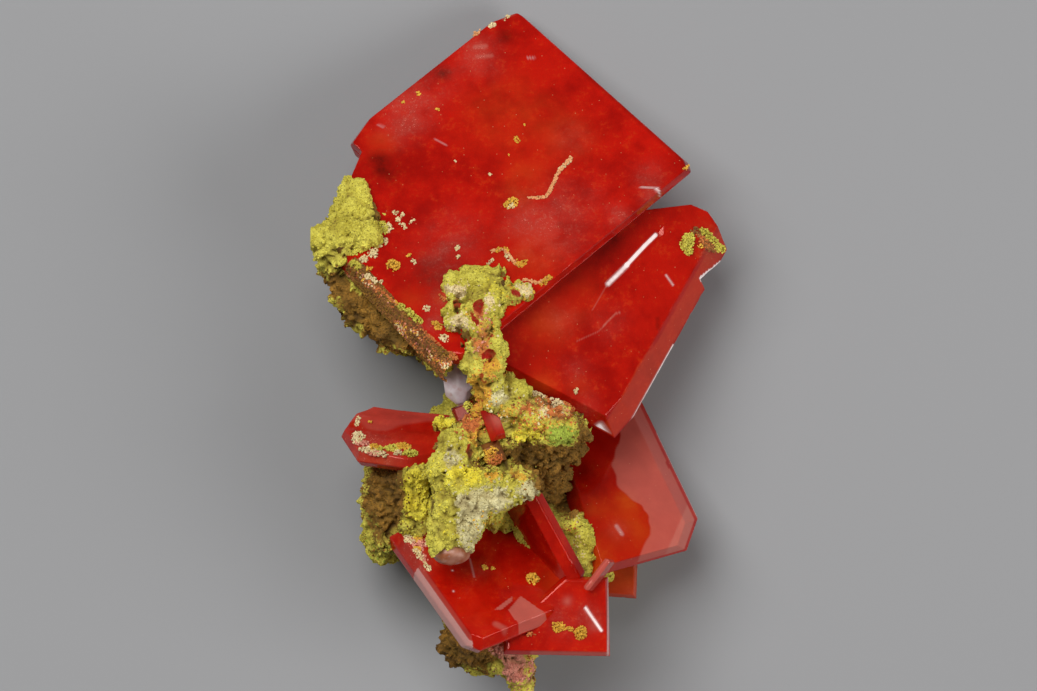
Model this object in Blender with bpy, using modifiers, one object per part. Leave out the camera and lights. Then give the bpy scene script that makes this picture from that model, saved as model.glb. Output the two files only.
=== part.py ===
"""A wulfenite specimen: thin square red crystals grown on a crusted, crumbly matrix.

The specimen lies on the flat break of its matrix, at z = 0, with its crystals' faces up and its
longest way along Y. Each crystal is a square plate on its c axis: two flat {001} faces, and a rim
of {011} pyramid faces that meet on the plate's middle plane. Sizes are in millimetres until MM
turns them to metres.
"""

import math

import bmesh
import bpy
from mathutils import Euler, Matrix, Vector

MM = 0.001

# Driving dimensions, millimetres and degrees
SEAT_GAP = 0.3  # between a crystal and the socket that it sits in
STEEP = 65.8  # slope of a {011} rim face: its normal from the c axis
GENTLE = 36.6  # slope of a {013} rim face
LOW = 42.0  # slope of the right crystal's broad stepped rim
BLUNT = 55.0  # slope of a worn corner face
SIDE = 84.0  # slope of a rim that is nearly square to the faces
BLANK = 60.0  # the cube that each crystal is cut from
MAIN_THICKNESS = 1.5
RIGHT_THICKNESS = 2.8
LOWER_RIGHT_THICKNESS = 2.1
BOTTOM_THICKNESS = 1.6
LEDGE_THICKNESS = 1.1
BLADE_THICKNESS = 1.3
SPLINTER_THICKNESS = 0.4
LEFT_THICKNESS = 1.2
BACK_THICKNESS = 1.0
BUD_THICKNESS = 1.1
QUARTZ_RADIUS = 1.05
QUARTZ_LENGTH = 3.2
QUARTZ_SIDES = 6
QUARTZ_POINT_RISE = 0.33  # of its point's faces where they pass the prism's end, in radii
QUARTZ_POINT_SLOPE = 0.8  # of a point face's normal: its part along the prism over its part across
MATRIX_VOXEL = 0.4
MATRIX_LUMP_SIZE = 1.3  # of the rough bumps all over the matrix
MATRIX_ROUGHNESS = 1.5
MATRIX_KEPT = 0.17  # the share of the fine triangles that the matrix keeps
BREAK_BLOCK = 80.0  # what the flat break takes off below z = 0

# Crystal placements: the centre of the plate, its turn in degrees, and its rim. Each rim entry is
# (azimuth about the c axis, distance from the centre) and, where they aren't STEEP, the slopes
# above the middle plane and below it
MAIN = {
    "place": (-2.3, 9.75, 7.55),
    "turn": (-19.8, -23.4, -42.2),
    "thickness": MAIN_THICKNESS,
    "rim": [
        (90, 10.5),
        (0, 8.3, SIDE),
        (-50, 12.7),
        (-95, 10.3),
        (179, 8.7),
        (-165, 8.9),
        (160, 10.95),
        (100, 11.6),
        (63, 12.85),
    ],
}
RIGHT = {
    "place": (5.05, 1.55, 7.75),
    "turn": (10.9, 16.7, 60.6),
    "thickness": RIGHT_THICKNESS,
    "rim": [
        (-90, 4.9, LOW),
        (-102, 5.65, LOW),
        (-175, 6.35),
        (39, 6.55, SIDE),
        (10, 9.0, SIDE),
        (-24, 9.7, SIDE),
        (68, 5.0),
        (135, 8.3),
    ],
}
LOWER_RIGHT = {
    "place": (7.55, -9.05, 4.65),
    "turn": (-24.8, -22.8, -64.5),
    "thickness": LOWER_RIGHT_THICKNESS,
    "rim": [(90, 2.8, GENTLE), (49, 4.1, BLUNT), (0, 4.95, SIDE), (178, 6.0), (-97, 4.9), (-165, 5.85)],
}
BACK = {
    "place": (6.2, -14.25, 4.85),
    "turn": (-3.0, 1.5, -3.4),
    "thickness": BACK_THICKNESS,
    "rim": [(1, 1.25), (-91, 1.6), (93, 1.7), (-177, 1.25)],
}
BOTTOM = {
    "place": (-2.45, -15.3, 10.6),
    "turn": (-30.0, -26.6, -54.1),
    "thickness": BOTTOM_THICKNESS,
    "rim": [(-90, 3.05, STEEP, SIDE), (0, 4.0), (177, 5.8), (41, 5.1), (-49, 4.45), (95, 6.9)],
}
LEDGE = {
    "place": (3.2, -17.5, 10.85),
    "turn": (-5.8, 3.4, -1.1),
    "thickness": LEDGE_THICKNESS,
    "rim": [(2, 2.45), (-90, 1.87), (90, 3.1), (133, 2.6), (-179, 4.2)],
}
BLADE = {
    "place": (1.55, -12.25, 9.45),
    "turn": (66.0, 11.5, -61.3),
    "thickness": BLADE_THICKNESS,
    "rim": [(90, 2.2), (0, 3.0), (-90, 2.0), (180, 3.4), (48, 3.45)],
}
SPLINTER = {
    "place": (4.97, -14.3, 11.6),
    "turn": (-78.4, 5.6, -126.8),
    "thickness": SPLINTER_THICKNESS,
    "rim": [(0, 1.2), (180, 1.2), (90, 1.0), (-90, 0.7)],
}
LEFT = {
    "place": (-6.8, -5.8, 9.6),
    "turn": (-48.2, -11.9, -2.9),
    "thickness": LEFT_THICKNESS,
    "rim": [(84, 2.1), (128, 3.6), (164, 4.15), (-146, 3.75), (-97, 2.75), (11, 3.75), (-62, 2.7)],
}
UPPER_BUD = {
    "place": (-1.65, -4.95, 13.4),
    "turn": (-12.0, 30.0, 14.0),
    "thickness": BUD_THICKNESS,
    "rim": [(0, 0.6), (52, 0.72), (90, 1.05), (180, 0.5), (-90, 1.05)],
}
LOWER_BUD = {
    "place": (-1.65, -6.7, 12.9),
    "turn": (14.0, -12.0, 20.0),
    "thickness": BUD_THICKNESS,
    "rim": [(0, 0.7), (90, 0.75), (180, 0.7), (-90, 0.75)],
}
SIDE_BUD = {
    "place": (-3.35, -4.35, 12.1),
    "turn": (-16.0, -14.0, 22.0),
    "thickness": BUD_THICKNESS,
    "rim": [(0, 0.75), (90, 0.75), (180, 0.75), (-90, 0.75)],
}
QUARTZ = {"place": (-3.8, -2.15, 10.85), "turn": (80.0, 0.0, 8.0)}

# Where a crystal's outline steps in: a block's inner corner in the crystal's own frame, the block's
# length and width outward from there, and its turn about the c axis
MAIN_NOTCHES = [
    {"corner": (-7.0, -3.75), "size": (8.0, 9.0), "turn": 0.0},
    {"corner": (-7.0, -3.75), "size": (8.0, 12.0), "turn": 27.0},
]
RIGHT_NOTCHES = [{"corner": (7.05, -4.1), "size": (1.4, 3.0), "turn": 11.0}]
NOTCH_DEPTH = 6.0

# The matrix as overlapping lumps: centre, then half sizes
MATRIX_LUMPS = {
    "upper bulk": [
        (-6.2, 3.6, 2.4, 4.6, 4.0, 5.8),
        (-3.2, 1.6, 3.0, 4.2, 3.6, 6.6),
        (-7.6, 4.8, 6.2, 3.0, 2.6, 3.0),
    ],
    "middle bulk": [
        (0.9, -1.8, 2.6, 2.9, 3.6, 6.4),
        (-1.0, -6.0, 2.6, 4.6, 4.4, 7.4),
        (1.4, -8.6, 2.4, 2.8, 3.0, 5.6),
        (4.0, -8.4, 2.0, 2.4, 2.8, 2.4),
        (-2.4, -8.4, 8.6, 2.8, 3.0, 3.6),
        (-0.9, -4.2, 9.6, 1.5, 2.4, 3.4),
    ],
    "lower bulk": [
        (-1.4, -13.6, 2.8, 3.6, 4.2, 6.6),
        (4.2, -12.2, 1.6, 2.6, 2.6, 3.8),
        (4.9, -14.0, 3.8, 1.4, 1.4, 2.6),
    ],
    "left crust": [
        (-10.4, 9.8, 8.1, 0.8, 0.8, 0.9),
        (-10.3, 8.9, 8.6, 1.2, 1.0, 1.1),
        (-10.85, 7.6, 9.3, 1.35, 0.95, 1.2),
        (-11.4, 6.6, 9.8, 1.5, 1.2, 1.4),
        (-9.9, 6.9, 9.7, 1.3, 1.0, 1.1),
        (-9.0, 8.2, 8.9, 0.9, 0.8, 0.9),
        (-12.2, 6.1, 9.4, 0.9, 0.9, 1.2),
        (-10.9, 5.7, 9.9, 1.1, 0.9, 1.3),
    ],
    "band under the main crystal": [
        (-11.5, 5.2, 8.4, 1.0, 1.0, 1.4),
        (-10.6, 3.9, 8.4, 1.3, 1.3, 1.6),
        (-10.2, 2.7, 8.6, 1.4, 1.3, 1.6),
        (-9.0, 2.0, 8.8, 1.5, 1.3, 1.8),
        (-7.8, 1.0, 9.3, 1.5, 1.2, 2.0),
        (-6.6, 0.6, 10.0, 1.3, 1.0, 2.0),
        (-5.7, -0.1, 11.0, 1.1, 0.8, 1.8),
        (-4.9, -0.9, 12.0, 0.8, 0.7, 1.4),
    ],
    "foot of the face crust": [
        (-2.0, 0.4, 13.9, 0.8, 1.0, 1.0),
        (-2.6, -0.3, 14.0, 1.2, 0.9, 1.0),
        (-1.75, -0.9, 13.9, 0.95, 0.9, 1.1),
        (-2.5, -1.4, 13.8, 1.1, 0.8, 1.1),
        (-1.9, -1.9, 13.5, 1.1, 1.2, 1.4),
    ],
    "neck": [
        (-1.0, -3.3, 12.8, 1.4, 1.4, 1.6),
        (0.5, -4.5, 12.2, 1.5, 1.2, 1.5),
        (2.1, -4.9, 11.6, 1.4, 1.0, 1.4),
        (3.4, -5.2, 10.9, 1.1, 0.8, 1.3),
        (1.6, -6.2, 9.0, 2.6, 1.5, 2.6),
        (-1.3, -5.8, 11.6, 1.2, 1.6, 1.8),
        (-2.5, -4.9, 12.8, 0.5, 1.6, 0.8),
    ],
    "crumbs above the left crystal": [
        (-4.9, -4.95, 10.7, 0.9, 0.6, 0.9),
        (-3.5, -4.95, 12.0, 1.1, 0.55, 1.1),
    ],
    "nodule": [
        (-4.0, -6.4, 14.0, 1.1, 1.25, 1.4),
        (-3.9, -7.75, 14.3, 1.5, 1.3, 1.8),
        (-1.3, -8.9, 14.1, 2.0, 1.15, 1.4),
        (0.4, -8.7, 13.9, 0.95, 1.15, 1.2),
        (-3.6, -9.85, 14.1, 1.9, 1.6, 1.8),
        (-4.2, -11.6, 13.8, 1.45, 1.5, 1.6),
        (-4.2, -12.7, 13.2, 1.25, 0.75, 1.2),
        (-2.9, -8.8, 11.6, 1.8, 1.8, 2.4),
        (-0.8, -8.5, 12.0, 1.3, 0.9, 1.9),
    ],
    "left pillar": [
        (-6.5, -8.4, 10.4, 1.0, 1.4, 2.0),
        (-6.4, -10.3, 10.0, 0.9, 1.4, 2.0),
        (-5.8, -9.4, 8.6, 1.6, 2.0, 2.4),
    ],
    "left block": [
        (-8.2, -9.4, 4.6, 1.6, 2.6, 5.2),
        (-8.3, -11.7, 4.6, 1.35, 1.8, 4.8),
        (-6.2, -9.8, 3.4, 2.2, 2.8, 5.6),
    ],
    "crust beside the blade": [
        (3.3, -11.4, 7.7, 0.9, 1.0, 1.6),
        (3.9, -12.9, 8.2, 0.7, 1.2, 1.6),
    ],
    "tail": [
        (-3.5, -18.7, 7.0, 1.4, 1.2, 3.2),
        (-2.2, -17.4, 5.4, 2.2, 2.4, 3.8),
        (-2.3, -19.6, 6.4, 1.1, 0.8, 1.6),
        (-0.3, -19.3, 7.4, 1.5, 1.4, 1.9),
        (0.1, -20.8, 7.4, 0.85, 1.3, 1.1),
        (0.2, -21.8, 7.4, 0.45, 0.8, 0.6),
    ],
}

# Flat crust on the main crystal's face, in its frame: centre, then half sizes along the face. All
# are equally thick, and their middles lie just above the face
FACE_CRUST = [
    (4.7, -6.6, 1.0, 1.0),
    (5.3, -5.2, 1.3, 1.2),
    (6.0, -4.2, 1.2, 1.2),
    (6.6, -5.4, 1.3, 1.2),
    (7.6, -3.8, 0.9, 0.8),
    (6.2, -7.9, 0.8, 1.0),
    (7.3, -6.8, 1.3, 1.4),
    (7.6, -8.4, 1.0, 1.0),
]
FACE_CRUST_HALF = 0.7
FACE_CRUST_RISE = 0.2  # of the crust's middle above the face

RED = (0.47, 0.008, 0.004, 1.0)
OCHRE = (0.42, 0.36, 0.06, 1.0)
LILAC = (0.55, 0.36, 0.36, 1.0)


def clear_scene():
    for item in list(bpy.data.objects):
        bpy.data.objects.remove(item, do_unlink=True)


def new_collection(name, hidden=False):
    group = bpy.data.collections.new(name)
    bpy.context.scene.collection.children.link(group)
    group.hide_render = hidden
    return group


def finish(name, colour, roughness):
    """A Principled material of one plain colour."""
    material = bpy.data.materials.new(name)
    material.use_nodes = True
    shader = material.node_tree.nodes["Principled BSDF"]
    shader.inputs["Base Color"].default_value = colour
    shader.inputs["Roughness"].default_value = roughness
    shader.inputs["Metallic"].default_value = 0.0
    return material


def put(name, bm, group, place=(0, 0, 0), turn=(0, 0, 0), material=None):
    """Makes an object of the bmesh, which is in millimetres, and places it in metres."""
    bmesh.ops.scale(bm, vec=(MM, MM, MM), verts=bm.verts)
    bmesh.ops.recalc_face_normals(bm, faces=bm.faces)
    mesh = bpy.data.meshes.new(name)
    bm.to_mesh(mesh)
    bm.free()
    item = bpy.data.objects.new(name, mesh)
    item.location = Vector(place) * MM
    item.rotation_euler = Euler([math.radians(angle) for angle in turn])
    group.objects.link(item)
    if material:
        mesh.materials.append(material)
    return item


def as_cutter(item):
    item.hide_render = True
    item.display_type = "WIRE"
    return item


def slice_off(bm, point, normal):
    """Cuts away what lies beyond the plane, and closes the cut with one flat face."""
    everything = bm.verts[:] + bm.edges[:] + bm.faces[:]
    cut = bmesh.ops.bisect_plane(bm, geom=everything, plane_co=point, plane_no=normal, clear_outer=True)
    edges = [part for part in cut["geom_cut"] if isinstance(part, bmesh.types.BMEdge)]
    if edges:
        bmesh.ops.contextual_create(bm, geom=edges)


def plate(thickness, rim, grow=0.0):
    """A tabular crystal on local Z, cut from a cube by its two faces and its rim's pyramid faces.

    grow moves every face outward, which makes the cutter of the crystal's socket.
    """
    bm = bmesh.new()
    bmesh.ops.create_cube(bm, size=BLANK)
    for side in (1, -1):
        slice_off(bm, (0, 0, side * (thickness / 2 + grow)), (0, 0, side))
        for azimuth, distance, *slopes in rim:
            around = math.radians(azimuth)
            upper, lower = [*slopes, STEEP, STEEP][:2]
            slope = math.radians(upper if side == 1 else lower)
            outward = Vector((math.cos(around), math.sin(around), 0))
            normal = outward * math.sin(slope) + Vector((0, 0, side * math.cos(slope)))
            slice_off(bm, outward * distance + normal * grow, normal)
    return bm


def crystal(name, shape, group, material=None, grow=0.0):
    bm = plate(shape["thickness"], shape["rim"], grow)
    return put(name, bm, group, shape["place"], shape["turn"], material)


def step_in(item, notches, shape, group):
    """Cuts each notch's block, which lies on the -X, -Y side of its corner, from the crystal."""
    for number, notch in enumerate(notches, 1):
        length, width = notch["size"]
        bm = bmesh.new()
        bmesh.ops.create_cube(bm, size=1.0)
        bmesh.ops.scale(bm, vec=(length, width, NOTCH_DEPTH), verts=bm.verts)
        bmesh.ops.translate(bm, vec=(-length / 2, -width / 2, 0), verts=bm.verts)
        turn = Euler((0, 0, math.radians(notch["turn"]))).to_matrix()
        bmesh.ops.rotate(bm, cent=(0, 0, 0), matrix=turn, verts=bm.verts)
        bmesh.ops.translate(bm, vec=(*notch["corner"], 0), verts=bm.verts)
        block = put(f"{item.name} notch {number}", bm, group, shape["place"], shape["turn"])
        boolean(item, as_cutter(block), "DIFFERENCE")


def boolean(item, other, operation, solver="EXACT"):
    modifier = item.modifiers.new(f"{operation.lower()} {other.name}", "BOOLEAN")
    modifier.operation = operation
    modifier.solver = solver
    modifier.object = other


def quartz_prism(length, radius, grow=0.0):
    """A six-sided prism with a six-sided point at its +Z end."""
    bm = bmesh.new()
    across = radius + grow
    along = length + 2 * grow
    bmesh.ops.create_cone(
        bm, cap_ends=True, segments=QUARTZ_SIDES, radius1=across, radius2=across, depth=along
    )
    peak = Vector((0, 0, length / 2 + radius * QUARTZ_POINT_RISE))
    for side in range(QUARTZ_SIDES):
        around = math.tau * (side + 0.5) / QUARTZ_SIDES
        normal = Vector((math.cos(around), math.sin(around), QUARTZ_POINT_SLOPE)).normalized()
        slice_off(bm, peak + normal * grow, normal)
    return bm


def lump(bm, centre, half, turn=(0, 0, 0), place=(0, 0, 0)):
    """Adds one ellipsoid to the bmesh. Its centre and axes may be in a turned and placed frame."""
    ball = bmesh.ops.create_icosphere(bm, subdivisions=3, radius=1.0)
    frame = Matrix.LocRotScale(Vector(place), Euler([math.radians(angle) for angle in turn]), None)
    shape = Matrix.LocRotScale(Vector(centre), None, Vector(half))
    bmesh.ops.transform(bm, matrix=frame @ shape, verts=ball["verts"])


def keep_largest(bm):
    """Removes crumbs: every island but the one with the most faces."""
    left = set(bm.faces)
    islands = []
    while left:
        island, edge_of = set(), [left.pop()]
        while edge_of:
            face = edge_of.pop()
            island.add(face)
            for edge in face.edges:
                for near in edge.link_faces:
                    if near in left:
                        left.remove(near)
                        edge_of.append(near)
        islands.append(island)
    islands.sort(key=len, reverse=True)
    crumbs = [face for island in islands[1:] for face in island]
    bmesh.ops.delete(bm, geom=crumbs, context="FACES")


def make_matrix(parts, cutters, sockets, material):
    """The rock: lumps fused by a voxel remesh, roughened, cut flat at its break and to its sockets."""
    bm = bmesh.new()
    for lumps in MATRIX_LUMPS.values():
        for x, y, z, half_x, half_y, half_z in lumps:
            lump(bm, (x, y, z), (half_x, half_y, half_z))
    middle = MAIN["thickness"] / 2 + FACE_CRUST_RISE
    for x, y, half_x, half_y in FACE_CRUST:
        lump(bm, (x, y, middle), (half_x, half_y, FACE_CRUST_HALF), MAIN["turn"], MAIN["place"])
    rock = put("matrix", bm, parts, material=material)
    bumps = bpy.data.textures.new("matrix bumps", "CLOUDS")
    bumps.noise_scale = MATRIX_LUMP_SIZE * MM
    bumps.noise_depth = 2
    for step in ("fuse", "heal"):
        remesh = rock.modifiers.new(step, "REMESH")
        remesh.mode = "VOXEL"
        remesh.voxel_size = MATRIX_VOXEL * MM
        if step == "fuse":
            rough = rock.modifiers.new("roughen", "DISPLACE")
            rough.texture = bumps
            rough.texture_coords = "LOCAL"
            rough.strength = MATRIX_ROUGHNESS * MM
            rough.mid_level = 0.5
    thin = rock.modifiers.new("thin out", "DECIMATE")
    thin.ratio = MATRIX_KEPT
    block = bmesh.new()
    bmesh.ops.create_cube(block, size=BREAK_BLOCK)
    ground = as_cutter(put("break block", block, cutters, (0, 0, -BREAK_BLOCK / 2)))
    for cutter in [ground, *sockets]:
        boolean(rock, cutter, "DIFFERENCE", "MANIFOLD")
    graph = bpy.context.evaluated_depsgraph_get()
    cut = bpy.data.meshes.new_from_object(rock.evaluated_get(graph))
    rock.modifiers.clear()
    bm = bmesh.new()
    bm.from_mesh(cut)
    bmesh.ops.triangulate(bm, faces=bm.faces)
    keep_largest(bm)
    bm.to_mesh(rock.data)
    bm.free()
    bpy.data.meshes.remove(cut)
    return rock


def build():
    clear_scene()
    parts = new_collection("wulfenite specimen")
    cutters = new_collection("cutters", hidden=True)
    stone = finish("crusted matrix", OCHRE, 0.9)
    clear = finish("quartz", LILAC, 0.2)

    def red(name):
        return finish(name.replace("_", " "), RED, 0.12)

    singles = {
        "main_crystal": MAIN,
        "right_crystal": RIGHT,
        "lower_right_crystal": LOWER_RIGHT,
        "small_back_crystal": BACK,
        "bottom_crystals": BOTTOM,
        "left_crystal": LEFT,
        "upper_bud_crystal": UPPER_BUD,
        "lower_bud_crystal": LOWER_BUD,
        "side_bud_crystal": SIDE_BUD,
    }
    made = {name: crystal(name, shape, parts, red(name)) for name, shape in singles.items()}
    step_in(made["main_crystal"], MAIN_NOTCHES, MAIN, cutters)
    step_in(made["right_crystal"], RIGHT_NOTCHES, RIGHT, cutters)
    intergrown = {"ledge": LEDGE, "blade": BLADE, "splinter": SPLINTER}
    for name, shape in intergrown.items():
        boolean(made["bottom_crystals"], as_cutter(crystal(name, shape, cutters)), "UNION")

    prism = quartz_prism(QUARTZ_LENGTH, QUARTZ_RADIUS)
    put("quartz_stub", prism, parts, QUARTZ["place"], QUARTZ["turn"], clear)

    sockets = []
    for name, shape in {**singles, **intergrown}.items():
        sockets.append(as_cutter(crystal(f"{name} socket", shape, cutters, grow=SEAT_GAP)))
    boolean(made["right_crystal"], sockets[0], "DIFFERENCE")
    hole = quartz_prism(QUARTZ_LENGTH, QUARTZ_RADIUS, SEAT_GAP)
    sockets.append(as_cutter(put("quartz socket", hole, cutters, QUARTZ["place"], QUARTZ["turn"])))
    make_matrix(parts, cutters, sockets, stone)


build()
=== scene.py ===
"""The finish of a wulfenite specimen: red see-through plates on a rock crusted with yellow grains."""

import math

import bpy
import numpy as np
from mathutils import Euler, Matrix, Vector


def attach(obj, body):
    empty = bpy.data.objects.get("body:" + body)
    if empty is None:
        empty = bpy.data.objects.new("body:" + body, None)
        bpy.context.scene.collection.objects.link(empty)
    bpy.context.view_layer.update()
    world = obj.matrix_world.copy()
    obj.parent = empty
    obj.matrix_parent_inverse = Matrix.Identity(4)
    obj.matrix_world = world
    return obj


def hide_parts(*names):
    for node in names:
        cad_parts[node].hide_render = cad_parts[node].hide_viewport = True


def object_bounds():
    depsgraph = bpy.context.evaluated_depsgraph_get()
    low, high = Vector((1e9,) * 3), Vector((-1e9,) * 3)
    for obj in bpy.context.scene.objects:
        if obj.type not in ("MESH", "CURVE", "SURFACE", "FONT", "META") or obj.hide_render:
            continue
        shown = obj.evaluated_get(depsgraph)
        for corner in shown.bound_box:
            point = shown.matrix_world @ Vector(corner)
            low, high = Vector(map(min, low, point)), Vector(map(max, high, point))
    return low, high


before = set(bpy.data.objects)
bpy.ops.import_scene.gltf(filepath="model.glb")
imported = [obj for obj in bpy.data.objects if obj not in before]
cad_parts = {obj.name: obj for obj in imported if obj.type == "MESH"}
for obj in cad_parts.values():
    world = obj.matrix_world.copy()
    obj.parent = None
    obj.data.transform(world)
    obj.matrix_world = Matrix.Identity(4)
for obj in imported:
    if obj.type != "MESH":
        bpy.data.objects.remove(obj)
cad_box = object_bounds()

# ---------------------------------------------------------------------------------------------
# The main crystal: a square plate of red lead molybdate, 1.5 mm thick, with two flat faces and a
# narrow rim of sloping faces. It grew free, and stands tilted on the rock by its lower left corner.
MM = 0.001
STEEP = 65.8  # slope of the rim faces, degrees from the plate's face
GENTLE = 36.6
LOW = 42.0
BLUNT = 55.0
SIDE = 84.0
WALL = 90.0  # the side of a notch, square to the face

# A crystal's sizes are in millimetres and degrees, in its own frame: the c axis is its Z. Each rim
# entry is (azimuth, distance from the centre at the middle plane, slope above that plane) and, where
# it isn't STEEP, the slope below it. middle, where it is given, is the pole of the faces' mesh
MAIN = {
    "place": (-2.3, 9.75, 7.55),
    "turn": (-19.8, -23.4, -42.2),
    "thickness": 1.5,
    "rim": [
        (-95, 10.3, STEEP), (-50, 12.7, STEEP), (0, 8.3, SIDE), (63, 12.85, STEEP), (90, 10.5, STEEP),
        (100, 11.6, STEEP), (160, 10.95, STEEP), (179, 8.7, STEEP), (-165, 8.9, STEEP),
        (-90, 3.75, WALL, WALL), (-153, 7.94, WALL, WALL),
    ],
}


def crystal_axes(crystal):
    """(centre, axes): the crystal's centre, and its own X, Y and Z as the columns of a matrix."""
    turn = Euler([math.radians(angle) for angle in crystal["turn"]]).to_matrix()
    return np.array(crystal["place"]), np.array(turn)


def in_crystal(points, crystal):
    """Points of the specimen's frame, as seen in the crystal's own frame."""
    centre, axes = crystal_axes(crystal)
    return (points - centre) @ axes


def from_crystal(points, crystal):
    """Points of the crystal's own frame, in the specimen's frame."""
    centre, axes = crystal_axes(crystal)
    return centre + points @ axes.T


def rim_planes(crystal):
    """Azimuth, distance, slope above the middle plane and slope below it, an array of each."""
    return np.array([(*entry, STEEP)[:4] for entry in crystal["rim"]], float).T


def section(crystal, height, inset):
    """Corners of the level section at a height: each is where two neighbouring rim planes meet
    after they have moved in by inset and, with height, by height over the slope's tangent."""
    azimuth, reach, upper, lower = rim_planes(crystal)
    slope = upper if height > 0 else lower
    reach = reach - abs(height) / np.tan(np.radians(slope)) - inset
    a, b = np.radians(azimuth), np.radians(np.roll(azimuth, -1))
    next_reach = np.roll(reach, -1)
    x = reach * np.sin(b) - next_reach * np.sin(a)
    y = next_reach * np.cos(a) - reach * np.cos(b)
    return np.stack([x, y], 1) / np.sin(b - a)[:, None]


def ring(corners, steps, rounding):
    """Points round a section: straight sides of so many steps, joined at each corner by a short
    arc that starts rounding before the corner and ends rounding after it."""
    after = np.roll(corners, -1, 0) - corners
    length = np.linalg.norm(after, axis=1)
    after /= length[:, None]
    before = np.roll(after, 1, 0)
    start = np.minimum(rounding, length / 3)
    end = np.roll(start, 1)
    entry, leave = corners - before * end[:, None], corners + after * start[:, None]
    tip = 0.5 * corners + 0.25 * (entry + leave)
    next_entry = np.roll(entry, -1, 0)
    straight = next_entry - leave
    rows = []
    for side, count in enumerate(steps):
        share = np.linspace(0, 1, count, endpoint=False)[:, None]
        rows += [entry[side][None], tip[side][None], leave[side] + straight[side] * share]
    return np.concatenate(rows)


SPREAD = 374761393, 668265263, 974634777, 362437, 1274126177  # large odd numbers
LOW_BITS, LOWEST_BITS = 0x7FFFFFFFFFFF, 0xFFFFFF


def lattice_value(cell, seed):
    """A repeatable number from 0 to 1 for each whole-number cell: large numbers times its place and
    the seed, whose bits are then shifted over one another."""
    mixed = sum(cell[..., axis] * SPREAD[axis] for axis in range(3)) + seed * SPREAD[3]
    mixed = (mixed ^ (mixed >> 13)) * SPREAD[4] & LOW_BITS
    return ((mixed ^ (mixed >> 16)) & LOWEST_BITS) / LOWEST_BITS


def clouds(points, size, seed, octaves=1):
    """Soft noise from -1 to 1: random values on a grid of cubes, blended smoothly between corners.
    Each octave halves the cubes and the height."""
    apart, positive = 31.7, 1000  # these set the octaves apart, and keep every cell above zero
    total, weight = np.zeros(len(points)), 1.0
    for octave in range(octaves):
        place = points * (2**octave / size) + apart * octave + positive
        cell = np.floor(place).astype(np.int64)
        share = place - cell
        share = share * share * (3 - 2 * share)
        blend = 0
        for corner in np.ndindex(2, 2, 2):
            near = np.where(corner, share, 1 - share).prod(1)
            blend = blend + near * lattice_value(cell + corner, seed + octave)
        total += weight * (2 * blend - 1)
        weight /= 2
    return total / (2 - 2 * weight)


def rise(value, start, end):
    """0 up to start, 1 from end on, and a straight slope between them."""
    return np.clip((value - start) / (end - start), 0, 1)


def face_noise(x, y, *layers):
    """Soft noise over a crystal's face: each layer is (height, size, seed) and, where it has more
    than one, its octaves. They add up."""
    place = np.column_stack([x, y, np.zeros(len(x))])
    return sum(height * clouds(place, *grain) for height, *grain in layers)


WEAR = 0.05  # how far an edge is cut back, and how deep its nicks are
WEAR_MIDDLE = 0.3  # the worn edge's middle row, and the one at the girdle, as shares of WEAR
WEAR_GIRDLE = 0.25
NICK_REACH = 0.12  # how far from an edge its nicks reach, and how deep they are where it isn't worn
NICK_LEAST = 0.4
NICKS = [(0.5, 0, 0.35), (1.7, 9, 0.5)]  # size, added to the seed, and the noise above which it nicks
BACK_ROWS = 3  # the unseen back face has one row where the front has so many


def crystal_skin(crystal, spacing, relief, seed, rounding=0.06, broken=None):
    """The crystal's closed skin as a grid. One parameter runs round the rim, and the other from the
    middle of the front face out to its edge, down the rim and in to the middle of the back. Edges
    are cut back, noise nicks them, relief(x, y) raises the front face, and broken(points) moves the
    points of a broken place."""
    half = crystal["thickness"] / 2
    sides = np.linalg.norm(np.roll(section(crystal, 0, 0), -1, 0) - section(crystal, 0, 0), axis=1)
    steps = np.maximum(1, (sides / spacing).astype(int))
    rim_rows = max(2, int(half / spacing))
    heights = [half, half - WEAR_MIDDLE * WEAR, *np.linspace(half - WEAR, WEAR, rim_rows), 0.0]
    insets = [WEAR, WEAR_MIDDLE * WEAR, *np.zeros(rim_rows), WEAR_GIRDLE * WEAR]
    heights += [-height for height in heights[-2::-1]]
    insets += insets[-2::-1]
    middle = np.array(crystal.get("middle", (0.0, 0.0)))
    rows = [ring(section(crystal, z, inset), steps, rounding) for z, inset in zip(heights, insets)]
    sharp = [1 - min(1, abs(inset - WEAR / 2) / WEAR) if inset else 0 for inset in insets]
    worn = []
    for z, row, wear in zip(heights, rows, sharp):
        away = row - middle
        reach = np.linalg.norm(away, axis=1)
        place = np.column_stack([row, np.full(len(row), z)])
        chip = sum(
            np.clip(clouds(place, size, seed + more) - least, 0, 1) for size, more, least in NICKS
        )
        near_edge = np.exp(-(min(abs(half - abs(z)), abs(z)) / NICK_REACH) ** 2)
        depth = WEAR * chip * near_edge * (NICK_LEAST + wear)
        worn.append(middle + away * (1 - depth / reach)[:, None])
    radius = np.linalg.norm(worn[0] - middle, axis=1).mean()
    face_rows = max(3, int(radius / spacing))
    shares = np.arange(1, face_rows) / face_rows
    front = [middle + (worn[0] - middle) * share for share in shares]
    back = [middle + (worn[-1] - middle) * share for share in shares[::BACK_ROWS][::-1]]
    flat = np.array([*front, *worn, *back])
    level = np.concatenate([np.full(len(front), half), heights, np.full(len(back), -half)])
    grid = np.dstack([flat, np.broadcast_to(level[:, None], flat.shape[:2])])
    poles = np.array([[*middle, half], [*middle, -half]])
    points = np.concatenate([poles[:1], grid.reshape(-1, 3), poles[1:]])
    if relief:
        points[:, 2] += rise(points[:, 2], 0, half) * relief(points[:, 0], points[:, 1])
    if broken:
        points = broken(points)
    return points, grid_faces(len(grid), grid.shape[1])


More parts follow.
